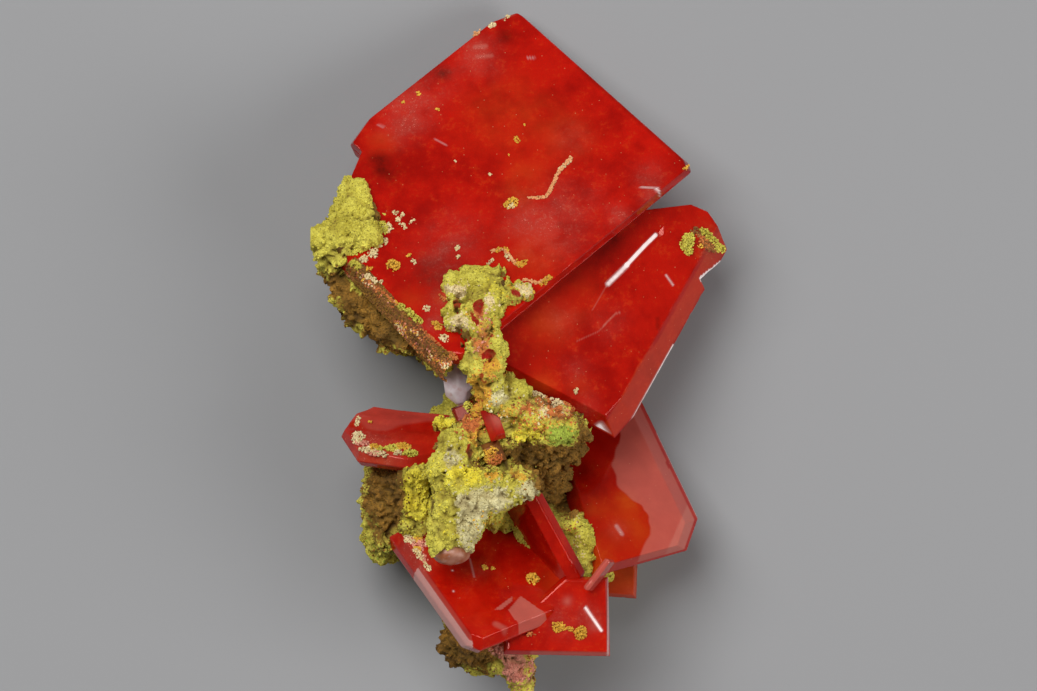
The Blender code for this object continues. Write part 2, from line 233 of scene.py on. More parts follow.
def grid_faces(rows, columns):
    """Faces of a grid that closes on itself along each row, with a fan to a pole at both ends. The
    first vertex is the first pole and the last vertex the other."""
    row = np.arange(rows - 1)[:, None] * columns + 1
    here = np.arange(columns)[None]
    there = (here + 1) % columns
    below = row + columns
    quads = np.stack([row + here, below + here, below + there, row + there], 2).reshape(-1, 4)
    first = np.stack([np.zeros(columns, int), 1 + here[0], 1 + there[0]], 1)
    end = rows * columns + 1
    last = np.stack([np.full(columns, end), end - columns + there[0], end - columns + here[0]], 1)
    return [quads.tolist(), first.tolist(), last.tolist()]


def make_piece(name, points, faces, fields=None, crease=25.0):
    """An object of the mesh, whose points are in millimetres, with one named value per point for
    each field."""
    mesh = bpy.data.meshes.new(name)
    mesh.from_pydata((points * MM).tolist(), [], [face for group in faces for face in group])
    for field, values in (fields or {}).items():
        kind, key = ("FLOAT", "value") if values.ndim == 1 else ("FLOAT_VECTOR", "vector")
        layer = mesh.attributes.new(field, kind, "POINT")
        layer.data.foreach_set(key, values.astype(np.float32).ravel())
    mesh.shade_smooth()
    mesh.set_sharp_from_angle(angle=math.radians(crease))
    mesh.update()
    piece = bpy.data.objects.new(name, mesh)
    bpy.context.scene.collection.objects.link(piece)
    return piece


def blots(x, y, spots, seed):
    """Soft marks on a face: each spot (x, y, radius, strength) is a bell round its centre, and
    noise breaks it up."""
    rough = 1 + face_noise(x, y, (0.9, 0.9, seed, 3))
    total = np.zeros(len(x))
    for spot_x, spot_y, radius, strength in spots:
        total += strength * np.exp(-((x - spot_x) ** 2 + (y - spot_y) ** 2) / radius**2)
    return np.clip(total * rough, 0, 1)


def stroke(path, width, strength=1.0, lowest=0.05):
    """A mark along a bent line: full near it, half as strong half the width away from it, and gone a
    little further out. It leaves out what lies below lowest in the crystal."""

    def mark(points):
        flat = points[:, :2]
        nearest = np.full(len(points), 99.0)
        for start, end in zip(np.array(path[:-1], float), np.array(path[1:], float)):
            along = end - start
            share = np.clip((flat - start) @ along / (along @ along), 0, 1)
            nearest = np.minimum(nearest, np.linalg.norm(flat - start - share[:, None] * along, axis=1))
        return strength * np.clip(1.5 - nearest / (width / 2), 0, 1) * (points[:, 2] > lowest)

    return mark


def area(corners, strength=1.0, lowest=0.05):
    """A mark that fills an outline: a point is inside if a line from it crosses the outline an odd
    number of times."""

    def mark(points):
        x, y = points[:, 0], points[:, 1]
        inside = np.zeros(len(points), bool)
        for (x1, y1), (x2, y2) in zip(corners, corners[1:] + corners[:1]):
            crosses = (y1 > y) != (y2 > y)
            inside ^= crosses & (x < (x2 - x1) * (y - y1) / (y2 - y1 + 1e-12) + x1)
        return strength * inside * (points[:, 2] > lowest)

    return mark


class Wire:
    """An output socket of a material's nodes. An operator on it adds a Math node, so shader maths
    reads as plain arithmetic, and node() adds any other node."""

    def __init__(self, tree, socket=None):
        self.tree, self.socket = tree, socket

    def node(self, kind, settings=None, sockets=None, output=0):
        made = self.tree.nodes.new(kind)
        for key, value in (settings or {}).items():
            if key == "stops":
                ramp = made.color_ramp.elements
                while len(ramp) < len(value):
                    ramp.new(0.5)
                for element, (position, colour) in zip(ramp, value):
                    element.position, element.color = position, (*colour, 1)
            else:
                setattr(made, key, value)
        for key, value in (sockets or {}).items():
            if isinstance(value, Wire):
                self.tree.links.new(value.socket, made.inputs[key])
            else:
                made.inputs[key].default_value = value
        return Wire(self.tree, made.outputs[output])

    def maths(self, operation, first, second=0.0):
        return self.node("ShaderNodeMath", {"operation": operation}, {0: first, 1: second})

    def __add__(self, other):
        return self.maths("ADD", self, other)

    def __radd__(self, other):
        return self.maths("ADD", other, self)

    def __sub__(self, other):
        return self.maths("SUBTRACT", self, other)

    def __rsub__(self, other):
        return self.maths("SUBTRACT", other, self)

    def __mul__(self, other):
        return self.maths("MULTIPLY", self, other)

    def __rmul__(self, other):
        return self.maths("MULTIPLY", other, self)

    def __gt__(self, other):
        return self.maths("GREATER_THAN", self, other)

    def clamp(self):
        return self.node("ShaderNodeClamp", None, {"Value": self})

    def between(self, low, high):
        """0 below low, 1 above high, and a smooth rise between them."""
        span = {"interpolation_type": "SMOOTHSTEP"}
        return self.node("ShaderNodeMapRange", span, {"Value": self, "From Min": low, "From Max": high})

    def mix(self, first, second):
        """first where this is 0, second where it is 1; both are colours."""
        first, second = ((*c, 1) if isinstance(c, tuple) else c for c in (first, second))
        settings = {"data_type": "RGBA", "clamp_factor": True}
        return self.node("ShaderNodeMix", settings, {0: self, 6: first, 7: second}, 2)


def new_finish(name):
    """(material, its Principled shader, its material output, a Wire to start from)."""
    material = bpy.data.materials.new(name)
    material.use_nodes = True
    nodes = material.node_tree.nodes
    return material, nodes["Principled BSDF"], nodes["Material Output"], Wire(material.node_tree)


def plug(wire, socket):
    wire.tree.links.new(wire.socket, socket)


def millimetres(wire):
    """Object coordinates, in millimetres."""
    place = wire.node("ShaderNodeTexCoord", output="Object")
    return wire.node("ShaderNodeVectorMath", {"operation": "SCALE"}, {0: place, "Scale": 1000.0})


def noise(wire, place, size, detail=3.0, roughness=0.55, **more):
    """Soft noise, 0 to 1, with features about that many millimetres across."""
    sockets = {"Vector": place, "Scale": 1 / size, "Detail": detail, "Roughness": roughness, **more}
    return wire.node("ShaderNodeTexNoise", None, sockets)


def field(wire, name):
    """The value that the mesh holds under that name."""
    return wire.node("ShaderNodeAttribute", {"attribute_name": name}, None, "Fac")


# The marks' colours. Smoke brown is also painted shade, frost pink also a painted reflection, and chalk
# white also painted reflections and glints.
SMOKE_AND_SHADE_BROWN = (0.10, 0.003, 0.001)
HAZE_PINK = (0.68, 0.17, 0.12)
FROST_AND_SHEEN_PINK = (0.72, 0.20, 0.15)
SPECK_CREAM = (0.85, 0.42, 0.20)
DUST_BROWN = (0.13, 0.045, 0.012), (0.34, 0.14, 0.045)
CHALK_AND_GLINT_WHITE = (0.95, 0.80, 0.76)
PAINTED_GLINT_GLOW = (0.45, 0.42, 0.42)  # painted highlight: a little light of its own, for a facet that mirrors a lamp
SOAK = {"Color": (1.0, 0.12, 0.04, 1), "Density": 900.0}  # what the crystal takes out of light inside it


def wulfenite(name, reds, offset):
    """Clear red crystal: light passes through it and is soaked up on the way. Its colour drifts
    between the first two reds, and glows in the third where it is amber. The mesh holds its marks:
    amber and smoke lie inside, and smoke is in places painted shade; haze is fine etching, and frost
    is etching that in places is painted pale as a reflection; chalk and dust cover the surface, and
    chalk also paints reflections and glints in places. The offset moves its noise, so that no two
    crystals are alike."""
    deep, body, glow = reds
    material, shader, output, wire = new_finish(name)
    place = millimetres(wire)
    place = wire.node("ShaderNodeVectorMath", {"operation": "ADD"}, {0: place, 1: offset})
    grown = wire.node("ShaderNodeAttribute", {"attribute_name": "grown"}, None, "Vector")
    broad = noise(wire, grown, 3.2, 3.0, 0.5)
    cloudy = noise(wire, place, 1.1, 4.0, 0.6)
    fine = noise(wire, place, 0.28, 4.0, 0.7)
    speck = noise(wire, place, 0.10, 2.0, 0.6)
    colour = (0.55 * broad + 0.45 * cloudy).between(0.34, 0.62).mix(deep, body)
    amber = (field(wire, "amber") * (0.55 + 0.9 * fine)).clamp()
    colour = (amber * 0.9).mix(colour, glow)
    colour = ((cloudy * fine).between(0.27, 0.42) * 0.30).mix(colour, glow)
    smoke = (field(wire, "smoke") * (0.4 + fine)).clamp()
    colour = smoke.mix(colour, SMOKE_AND_SHADE_BROWN)
    grit = fine.between(0.50, 0.72) * 0.4 + speck.between(0.58, 0.72) * 0.45
    haze = (field(wire, "haze") * (0.25 + grit)).clamp()
    colour = haze.mix(colour, HAZE_PINK)
    frost = (field(wire, "frost") * (0.82 + 0.3 * cloudy)).clamp()
    colour = frost.mix(colour, FROST_AND_SHEEN_PINK)
    specks = wire.node("ShaderNodeTexVoronoi", None, {"Vector": place, "Scale": 1.9, "Randomness": 1.0})
    dot = (1 - specks.between(0.035, 0.075)) * speck.between(0.35, 0.5)
    colour = (dot * 0.75).mix(colour, SPECK_CREAM)
    dust = (field(wire, "dust") * (0.5 + 0.9 * fine)).clamp()
    colour = dust.mix(colour, fine.between(0.35, 0.65).mix(*DUST_BROWN))
    chalk = (field(wire, "chalk") * (0.7 + 0.6 * fine)).clamp()
    colour = chalk.mix(colour, CHALK_AND_GLINT_WHITE)
    plug(colour, shader.inputs["Base Color"])
    # Painted highlight: where the chalk is strong it glows a little, as a facet that mirrors a lamp
    # would.
    plug(chalk.between(0.5, 1.2).mix((0.0, 0.0, 0.0), PAINTED_GLINT_GLOW), shader.inputs["Emission Color"])
    shader.inputs["Emission Strength"].default_value = 1.0
    matt = 0.06 + 0.30 * haze + 0.10 * frost + 0.05 * fine + 0.7 * dust + 0.4 * chalk
    plug(matt.clamp(), shader.inputs["Roughness"])
    height = fine * 0.25 + cloudy * 0.4 + haze * 0.8
    etching = {"Height": height, "Strength": 0.10, "Distance": 0.00004}
    plug(wire.node("ShaderNodeBump", None, etching), shader.inputs["Normal"])
    shader.inputs["IOR"].default_value = 1.7
    shader.inputs["Specular IOR Level"].default_value = 0.3
    shader.inputs["Specular Tint"].default_value = (1.0, 0.42, 0.36, 1)
    shader.inputs["Transmission Weight"].default_value = 0.38
    plug(wire.node("ShaderNodeVolumeAbsorption", None, SOAK), output.inputs["Volume"])
    return material


def grow_crystal(name, crystal, spacing, material, marks, relief, seed, node=None, slot=None, **skin):
    """Makes one crystal's piece and its marks, in place of a CAD node if one is named. marks maps
    each kind of mark to a list of spots and of functions of the skin's points, which add up."""
    local, faces = crystal_skin(crystal, spacing, relief, seed, **skin)
    fields = {"grown": local}
    for mark in ("haze", "amber", "smoke", "frost", "dust", "chalk"):
        shapes = [item for item in marks.get(mark, []) if callable(item)]
        spots = [item for item in marks.get(mark, []) if not callable(item)]
        total = blots(local[:, 0], local[:, 1], spots, seed) * (local[:, 2] > 0)
        for shape in shapes:
            total = total + shape(local)
        fields[mark] = np.clip(total, 0, 1)
    piece = make_piece(name, from_crystal(local, crystal), faces, fields)
    piece.data.materials.append(material)
    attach(piece, "root")
    if node:
        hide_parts(node)


GLOW = (0.84, 0.075, 0.010)
MAIN_REDS = (0.46, 0.004, 0.0015), (0.72, 0.010, 0.003), GLOW
DUST_LINE = -9.45  # where the dust ends on the face, and how far it swerves
DUST_FRAY = 0.35


def main_dust(points):
    """Brown dust along the lower left rim, in to a frayed line on the face."""
    x, y, _ = points.T
    edge = DUST_LINE - 0.04 * x + DUST_FRAY * clouds(points, 1.3, 9, 3)
    return rise(edge - y, 0, 0.25) * rise(x, -1.5, 0)


main_marks = {
    "haze": [
        (-7.2, 0.6, 1.5, 0.9), (-6.6, -0.9, 1.2, 0.5), (-7.2, 3.4, 1.3, 0.3), (-7.4, 6.6, 0.9, 0.9),
        (-6.4, 6.0, 1.2, 0.5), (6.9, 7.8, 0.9, 0.7), (8.0, 6.9, 0.7, 0.5), (7.6, 4.5, 0.7, 0.9),
        (5.2, 2.7, 2.0, 0.45), (4.3, 0.3, 1.8, 0.55), (6.2, 0.2, 1.6, 0.35), (1.5, 6.2, 1.0, 0.4),
        (2.4, -5.2, 1.7, 0.6), (4.6, -7.4, 1.0, 0.7), (1.0, -3.6, 1.5, 0.3), (5.2, -9.0, 0.8, 0.6),
    ],
    "amber": [
        (1.6, 2.3, 1.3, 0.4), (2.4, 1.0, 1.0, 0.3), (-2.6, 4.6, 2.4, 0.35), (1.2, 6.0, 1.6, 0.35),
        (3.2, -8.8, 0.8, 0.5), (-6.6, -2.4, 0.8, 0.5), (6.0, -1.4, 1.6, 0.5), (4.4, -7.3, 0.5, 0.9),
    ],
    "smoke": [
        (-7.5, 3.7, 0.45, 0.8), (-5.9, -3.3, 0.5, 0.35), (-5.1, -4.0, 0.45, 0.35),
        (-4.4, -4.0, 0.4, 0.25), (2.4, -7.2, 1.8, 0.4), (4.2, -6.2, 1.4, 0.3), (-6.9, 8.4, 0.6, 0.5),
        (-5.3, -3.6, 1.5, 0.35), (3.6, -2.4, 1.4, 0.2),
        stroke([(-8.4, 7.0), (-8.5, 2.0), (-8.5, -1.0)], 0.25, 0.5),
        stroke([(8.2, 10.1), (-2.0, 10.1)], 0.2, 0.35),
    ],
    "chalk": [
        stroke([(-4.4, 0.1), (-3.6, 0.3)], 0.12, 0.25), stroke([(-7.7, -1.7), (-7.3, -1.6)], 0.12, 0.4),
        stroke([(-4.7, 8.3), (-4.4, 8.6)], 0.12, 0.35), stroke([(7.2, 6.9), (8.0, 7.6)], 0.12, 0.55),
        stroke([(8.0, 7.5), (8.2, 7.5)], 0.16, 0.9),
    ],
    "frost": [
        stroke([(-7.0, 6.1), (-6.4, 6.8)], 0.25, 0.5), stroke([(-7.6, 6.5), (-7.2, 7.0)], 0.3, 0.6),
        stroke([(-7.9, 9.2), (-7.7, 10.2)], 0.2, 0.6),
    ],
    "dust": [main_dust],
}


def main_relief(x, y):
    """Low growth hills of two sizes, a few hundredths of a millimetre high."""
    return face_noise(x, y, (0.020, 4.0, 5), (0.004, 0.9, 6))


grow_crystal(
    "main_crystal_skin",
    MAIN,
    0.12,
    wulfenite("main crystal", MAIN_REDS, (0, 0, 0)),
    main_marks,
    main_relief,
    seed=3,
    node="main_crystal",
    rounding=0.15,
)

# ---------------------------------------------------------------------------------------------
# The right crystal: a thick plate behind the main one. Its lower right rim is broad and gentle, a
# growth step crosses its face, and a chip out of its right edge shows a cream-coloured break.
RIGHT = {
    "place": (5.05, 1.55, 7.75),
    "turn": (10.9, 16.7, 60.6),
    "thickness": 2.8,
    "rim": [
        (-175, 6.35, STEEP), (-102, 5.65, LOW), (-90, 4.9, LOW), (-24, 9.7, SIDE), (10, 9.0, SIDE),
        (39, 6.55, SIDE), (68, 5.0, STEEP), (135, 8.3, STEEP),
    ],
    "middle": (3.4, 0.0),
}
RIGHT_REDS = (0.42, 0.004, 0.0015), (0.64, 0.010, 0.003), GLOW
CHIP = [(5.3, -5.3), (5.65, -4.1), (6.2, -4.25), (7.85, -4.92), (8.1, -5.3)]
STEP = [(-0.1, 1.02), (1.9, 0.62), (2.28, 0.54), (6.4, -0.44)]
STEP_HEIGHT = 0.15
STEP_WIDTH = 0.31
BLOOM_LINE = -3.25  # where the rim's bloom starts, and the size of the jog halfway along it
BLOOM_JOG = 0.35


def right_relief(x, y):
    """A growth step: the face drops by its height across a straight slope beside a bent line, and
    the drop fades at both ends. Low soft hills lie over it."""
    drop = rise(y - np.interp(x, *zip(*STEP)), -STEP_WIDTH / 2, STEP_WIDTH / 2)
    fade = rise(x, -0.4, 1.8) * rise(x, 7.4, 6.5)
    return -STEP_HEIGHT * drop * fade + face_noise(x, y, (0.02, 3.0, 15), (0.003, 0.8, 16))


def chip_line(points):
    """Where the chip's uneven wall stands: a bent line, farther out the lower the point lies."""
    x, _, z = points.T
    slant = 0.16 * (RIGHT["thickness"] / 2 - z) - 0.1
    return np.interp(x, *zip(*CHIP)) - slant + 0.06 * clouds(points, 0.4, 18, 2)


def right_chip(points):
    """Breaks a shallow chip out of the lower edge: what lies beyond the wall moves in to it."""
    points[:, 1] = np.maximum(points[:, 1], chip_line(points))
    return points


def right_break(points):
    """The chip's cream-coloured break: what lies on its wall, below the face."""
    x, y, z = points.T
    wall = np.abs(y - chip_line(points)) < 0.05
    return 1.3 * wall * (x > 5.4) * (x < 7.7) * (z < RIGHT["thickness"] / 2 - 0.01)


def right_bloom(points):
    """The broad rim, out to a wavy line near the face's edge that jogs halfway."""
    x, y, z = points.T
    edge = BLOOM_LINE - BLOOM_JOG * rise(x, -0.6, -0.1) + 0.06 * clouds(points, 0.8, 17)
    return rise(edge - y, 0, 0.08) * (z > 0.1)


right_marks = {
    "amber": [
        (-2.2, 2.6, 1.2, 0.35), (0.2, 2.2, 1.5, 0.15), (-3.2, 3.6, 1.2, 0.3), (-5.9, 1.4, 0.8, 0.7),
        (-4.8, -0.6, 0.7, 0.25),
        lambda points: 0.4 * right_bloom(points),
    ],
    "haze": [
        (-0.2, -0.3, 1.2, 0.25), (-4.0, 0.0, 1.0, 0.3), (-1.8, 2.4, 1.0, 0.35), (-5.6, -1.6, 0.8, 0.4),
    ],
    "smoke": [
        # The three spots lie along the main crystal's edge: painted shade where its shadow falls on this
        # face.
        (4.6, 2.6, 1.6, 0.5), (-4.6, 3.4, 1.2, 0.25), (2.0, 3.6, 1.6, 0.4),
        stroke([(1.7, -2.9), (1.2, -3.2)], 0.3, 0.4),
    ],
    "dust": [(7.7, -3.2, 0.9, 0.45)],
    "frost": [
        lambda points: 0.04 * right_bloom(points),
        stroke([(-0.1, 1.0), (1.7, 0.95)], 0.07, 0.35),
        stroke([(-2.4, 0.9), (-1.1, 0.0), (-0.4, -0.2)], 0.06, 0.45),
        stroke([(-0.6, -0.1), (0.5, -0.4), (0.7, -0.6)], 0.10, 0.6),
    ],
    "chalk": [
        # The first four strokes are painted reflections: the growth step's riser, a facet at the bottom
        # and the lower rim's edge, as if they mirrored the light. The break below is its own cream
        # colour.
        stroke([(6.3, -0.2), (5.3, 0.08), (3.6, 0.48)], 0.22, 1.4),
        stroke([(3.6, 0.46), (1.9, 0.92)], 0.28, 0.9),
        stroke([(-6.15, -4.0), (-6.0, -3.2), (-6.3, -3.3)], 0.42, 1.0, 0.2),
        stroke([(1.2, -4.88), (-4.6, -4.92)], 0.16, 0.95, -0.4),
        stroke([(4.4, -2.0), (4.1, -2.7)], 0.12, 0.6),
        right_break,
    ],
}
grow_crystal(
    "right_crystal_skin",
    RIGHT,
    0.09,
    wulfenite("right crystal", RIGHT_REDS, (40, 0, 0)),
    right_marks,
    right_relief,
    seed=4,
    node="right_crystal",
    broken=right_chip,
)

# ---------------------------------------------------------------------------------------------
# The lower right crystal: a plate in the shade behind the rest. A thinner growth layer with a wavy
# edge covers its outer part; it is frosted and painted pale as a reflection.
LOWER_RIGHT = {
    "place": (7.55, -9.05, 4.65),
    "turn": (-24.8, -22.8, -64.5),
    "thickness": 2.1,
    "rim": [
        (-165, 5.85, STEEP), (-97, 4.9, STEEP), (0, 4.95, SIDE), (49, 4.1, BLUNT), (90, 2.8, GENTLE),
        (178, 6.0, STEEP),
    ],
    "middle": (0.0, -0.8),
}
LOWER_RIGHT_REDS = (0.44, 0.005, 0.001), (0.60, 0.011, 0.002), (0.70, 0.075, 0.006)
LAYER_START = (-3.0, -0.2)  # the layer's edge runs on average along a line between these ends
LAYER_END = (5.2, -2.4)
LAYER_WAVE = 0.9  # how far it swings to either side


def layer_depth(x, y):
    """How far inside the outer growth layer a point is: its height above a line that swings in one
    long wave, with smaller scallops of noise along it."""
    share = (x - LAYER_START[0]) / (LAYER_END[0] - LAYER_START[0])
    line = LAYER_START[1] + share * (LAYER_END[1] - LAYER_START[1])
    wave = -LAYER_WAVE * np.sin(math.tau * np.clip(share * 1.05, 0, 1))
    return y - line - wave - face_noise(x, 0.3 * y, (0.35, 0.9, 27, 2))


def lower_right_relief(x, y):
    """The outer layer slopes down from its edge, and low hills lie over the whole face."""
    return -0.03 * np.clip(layer_depth(x, y), 0, 4) + face_noise(x, y, (0.015, 2.5, 25))


def lower_right_frost_and_sheen(points):
    """The layer's etched face, painted pale as a reflection, with a painted highlight on a facet at its
    outer corner.
    """
    x, y, z = points.T
    layer = 0.62 * rise(layer_depth(x, y), -0.06, 0.06)
    corner = 0.35 * rise(x + y, 4.4, 4.5)
    return (layer + corner) * (z > 0.3)


grow_crystal(
    "lower_right_crystal_skin",
    LOWER_RIGHT,
    0.09,
    wulfenite("lower right crystal", LOWER_RIGHT_REDS, (0, 40, 0)),
    {
        "frost": [lower_right_frost_and_sheen],
        "amber": [
            (1.0, -1.6, 0.7, 0.9), (1.0, -3.7, 0.7, 0.6), (4.2, -5.4, 1.2, 0.9), (3.0, -2.0, 1.5, 0.5),
        ],
        # Painted shade: the smoke darkens the part that lies in the right crystal's shadow, under its
        # tip.
        "smoke": [(-1.0, -6.0, 2.0, 0.8), (-2.0, -3.6, 2.2, 0.3)],
        "haze": [(2.8, -3.0, 0.6, 0.5)],
        "chalk": [
            # The first stroke is a painted reflection: a pale line along the edge of the gentle rim.
            stroke([(-3.4, 2.8), (4.0, 2.8)], 0.10, 0.6, -0.3),
            stroke([(2.5, -3.0), (3.1, -2.9)], 0.25, 0.3),
        ],
    },
    lower_right_relief,
    seed=5,
    node="lower_right_crystal",
)

# ---------------------------------------------------------------------------------------------
# The small back crystal: a little square plate that shows below the lower right one.
BACK = {
    "place": (6.2, -14.25, 4.85),
    "turn": (-3.0, 1.5, -3.4),
    "thickness": 1.0,
    "rim": [(-177, 1.25, STEEP), (-91, 1.6, STEEP), (1, 1.25, STEEP), (93, 1.7, STEEP)],
}
BACK_REDS = (0.42, 0.02, 0.004), (0.62, 0.05, 0.008), (0.78, 0.12, 0.015)
grow_crystal(
    "small_back_crystal_skin",
    BACK,
    0.12,
    wulfenite("small back crystal", BACK_REDS, (0, 0, 40)),
    {"amber": [(0.0, 0.0, 1.2, 0.7)], "haze": [(0.9, -1.4, 0.5, 0.5)]},
    None,
    seed=6,
    node="small_back_crystal",
)

# ---------------------------------------------------------------------------------------------
# The bottom group: four plates grown through one another. The largest leans out at the bottom, a
# ledge lies on its right end, and a blade and a thin splinter stand on edge above it.
BOTTOM = {
    "place": (-2.45, -15.3, 10.6),
    "turn": (-30.0, -26.6, -54.1),
    "thickness": 1.6,
    "rim": [
        (-90, 3.05, STEEP, SIDE), (-49, 4.45, STEEP), (0, 4.0, STEEP), (41, 5.1, STEEP),
        (95, 6.9, STEEP), (177, 5.8, STEEP),
    ],
    "middle": (0.0, 0.5),
}
LEDGE = {
    "place": (3.2, -17.5, 10.85),
    "turn": (-5.8, 3.4, -1.1),
    "thickness": 1.1,
    "rim": [
        (-179, 4.2, STEEP), (-90, 1.87, STEEP), (2, 2.45, STEEP), (90, 3.1, STEEP), (133, 2.6, STEEP),
    ],
}
BLADE = {
    "place": (1.55, -12.25, 9.45),
    "turn": (66.0, 11.5, -61.3),
    "thickness": 1.3,
    "rim": [(-90, 2.0, STEEP), (0, 3.0, STEEP), (48, 3.45, STEEP), (90, 2.2, STEEP), (180, 3.4, STEEP)],
}
SPLINTER = {
    "place": (4.97, -14.3, 11.6),
    "turn": (-78.4, 5.6, -126.8),
    "thickness": 0.4,
    "rim": [(-90, 0.7, STEEP), (0, 1.2, STEEP), (90, 1.0, STEEP), (180, 1.2, STEEP)],
}
TERRACE_TOP = [(2.1, -0.4), (1.7, 1.2), (2.0, 1.0), (2.3, 0.0)]
TERRACE = [(1.9, 1.7), (4.4, 2.7), (4.8, 2.2), (4.7, 0.9), (4.3, 0.4), (2.8, 0.4), (2.5, 0.4)]
STRIP_LINE = -2.74  # the pale strip's edge, and the height below which its frost and painted reflection are thick
STRIP_THICK = 0.42
BOTTOM_REDS = (0.46, 0.005, 0.0015), (0.68, 0.012, 0.003), GLOW
bottom_red = wulfenite("bottom crystals", BOTTOM_REDS, (40, 40, 0))


def bottom_relief(x, y):
    """Low growth hills, as on the main crystal."""
    return face_noise(x, y, (0.02, 2.5, 35), (0.003, 0.7, 36))


def bottom_strip(points):
    """Frost and a painted reflection on the lower left rim: thin on its upper slope, thick on its lower
    one.
    """
    x, y, z = points.T
    return (y < STRIP_LINE) * (x > -2.9) * np.where(z < STRIP_THICK, 1.0, 0.3)


grow_crystal(
    "bottom_plate_skin",
    BOTTOM,
    0.09,
    bottom_red,
    {
        "haze": [
            (-4.2, -2.6, 0.9, 0.9), (-3.0, -3.0, 0.9, 0.8), (4.3, 0.4, 0.6, 0.6), (-1.0, 0.6, 0.6, 0.3),
        ],
        "amber": [(2.2, 4.2, 1.2, 0.4), (-3.6, -1.2, 1.0, 0.3)],
        "smoke": [(1.6, 3.4, 1.4, 0.3)],
        "frost": [
            # The terraces are painted pale: frost and a painted reflection of the light on their faces.
            area(TERRACE_TOP, 0.7),
            area(TERRACE, 0.7),
            stroke([(3.1, -0.9), (3.6, -0.6)], 0.4, 0.5),
            bottom_strip,
        ],
        "chalk": [
            (-0.2, -2.0, 0.06, 1.0), (-1.6, -1.2, 0.06, 0.9),
            stroke([(-1.9, 0.3), (-0.6, -0.2)], 0.1, 0.3),
            # The strip's thick part is whitened further: painted reflection.
            lambda points: 0.35 * (bottom_strip(points) > 0.5),
        ],
    },
    bottom_relief,
    seed=7,
    node="bottom_crystals",
)
ledge_marks = {
    "chalk": [
        stroke([(0.9, 1.1), (1.9, -0.3)], 0.18, 1.0),
        stroke([(2.35, 3.2), (2.35, -1.8)], 0.14, 0.6, -0.1),
    ],
    "frost": [
        (-0.2, 1.5, 0.3, 0.6), (1.5, 0.0, 0.3, 0.7), stroke([(-2.4, -1.75), (2.4, -1.75)], 0.2, 0.5)
    ],
    "haze": [(1.2, 0.4, 0.8, 0.6), (-0.4, 0.2, 1.2, 0.4)],
}
splinter_marks = {"frost": [area([(-2, -2), (2, -2), (2, 2), (-2, 2)], 0.6, -1)]}
for name, crystal, marks, seed in (
    ("ledge_skin", LEDGE, ledge_marks, 8),
    ("blade_skin", BLADE, {}, 9),
    ("splinter_skin", SPLINTER, splinter_marks, 10),
):
    grow_crystal(name, crystal, 0.09, bottom_red, marks, bottom_relief, seed, slot="bottom_crystals")

# ---------------------------------------------------------------------------------------------
# The left crystal: a thin plate seen along its lumpy front face, with grains on its lower edge.
LEFT = {
    "place": (-6.8, -5.8, 9.6),
    "turn": (-48.2, -11.9, -2.9),
    "thickness": 1.2,
    "rim": [
        (-146, 3.75, STEEP), (-97, 2.75, STEEP), (-62, 2.7, STEEP), (11, 3.75, STEEP), (84, 2.1, STEEP),
        (128, 3.6, STEEP), (164, 4.15, STEEP),
    ],
}


def left_relief(x, y):
    """Long wavy growth hills that run across the face, a tenth of a millimetre high."""
    return face_noise(0.45 * x, y, (0.12, 0.9, 45, 2))


def left_bloom(points):
    """A pale bloom on the upper part of the face, whose lower edge waves along the growth hills."""
    x, y, z = points.T
    edge = 0.3 + 0.45 * np.sin(1.1 * x + 0.6) + 0.4 * clouds(points * (0.5, 1, 1), 0.9, 46, 2)
    return 0.26 * rise(y - edge, 0, 0.3) * rise(x, 3.2, 1.7) * (z > 0)


LEFT_REDS = (0.46, 0.008, 0.003), (0.66, 0.022, 0.008), GLOW
grow_crystal(
    "left_crystal_skin",
    LEFT,
    0.08,
    wulfenite("left crystal", LEFT_REDS, (0, 40, 40)),
    {
        "haze": [(-1.4, -2.2, 1.6, 0.8), (-2.6, -1.0, 1.2, 0.6)],
        "amber": [(-1.6, -2.8, 1.0, 0.8)],
        "frost": [left_bloom],
        "chalk": [stroke([(-4.2, 0.8), (-3.6, 2.0), (-1.9, 2.5), (0.4, 2.4)], 0.12, 0.5)],
    },
    left_relief,
    seed=11,
    node="left_crystal",
)

# ---------------------------------------------------------------------------------------------
# The buds: three small crystals that peep out of the crust in the middle of the specimen. Two are
# red, and the lower one is stained amber and brown.
UPPER_BUD = {
    "place": (-1.65, -4.95, 13.4),
    "turn": (-12.0, 30.0, 14.0),
    "thickness": 1.1,
    "rim": [
        (-90, 1.05, STEEP), (0, 0.6, STEEP), (52, 0.72, STEEP), (90, 1.05, STEEP), (180, 0.5, STEEP)
    ],
}
LOWER_BUD = {
    "place": (-1.65, -6.7, 12.9),
    "turn": (14.0, -12.0, 20.0),
    "thickness": 1.1,
    "rim": [(-90, 0.75, STEEP), (0, 0.7, STEEP), (90, 0.75, STEEP), (180, 0.7, STEEP)],
}
SIDE_BUD = {
    "place": (-3.35, -4.35, 12.1),
    "turn": (-16.0, -14.0, 22.0),
    "thickness": 1.1,
    "rim": [(-90, 0.75, STEEP), (0, 0.75, STEEP), (90, 0.75, STEEP), (180, 0.75, STEEP)],
}
BUD_REDS = (0.44, 0.008, 0.003), (0.62, 0.020, 0.008), GLOW
BUD_AMBERS = (0.22, 0.05, 0.008), (0.40, 0.15, 0.03), (0.55, 0.28, 0.06)
bud_red = wulfenite("bud crystals", BUD_REDS, (40, 0, 40))
bud_amber = wulfenite("amber bud", BUD_AMBERS, (0, 80, 40))
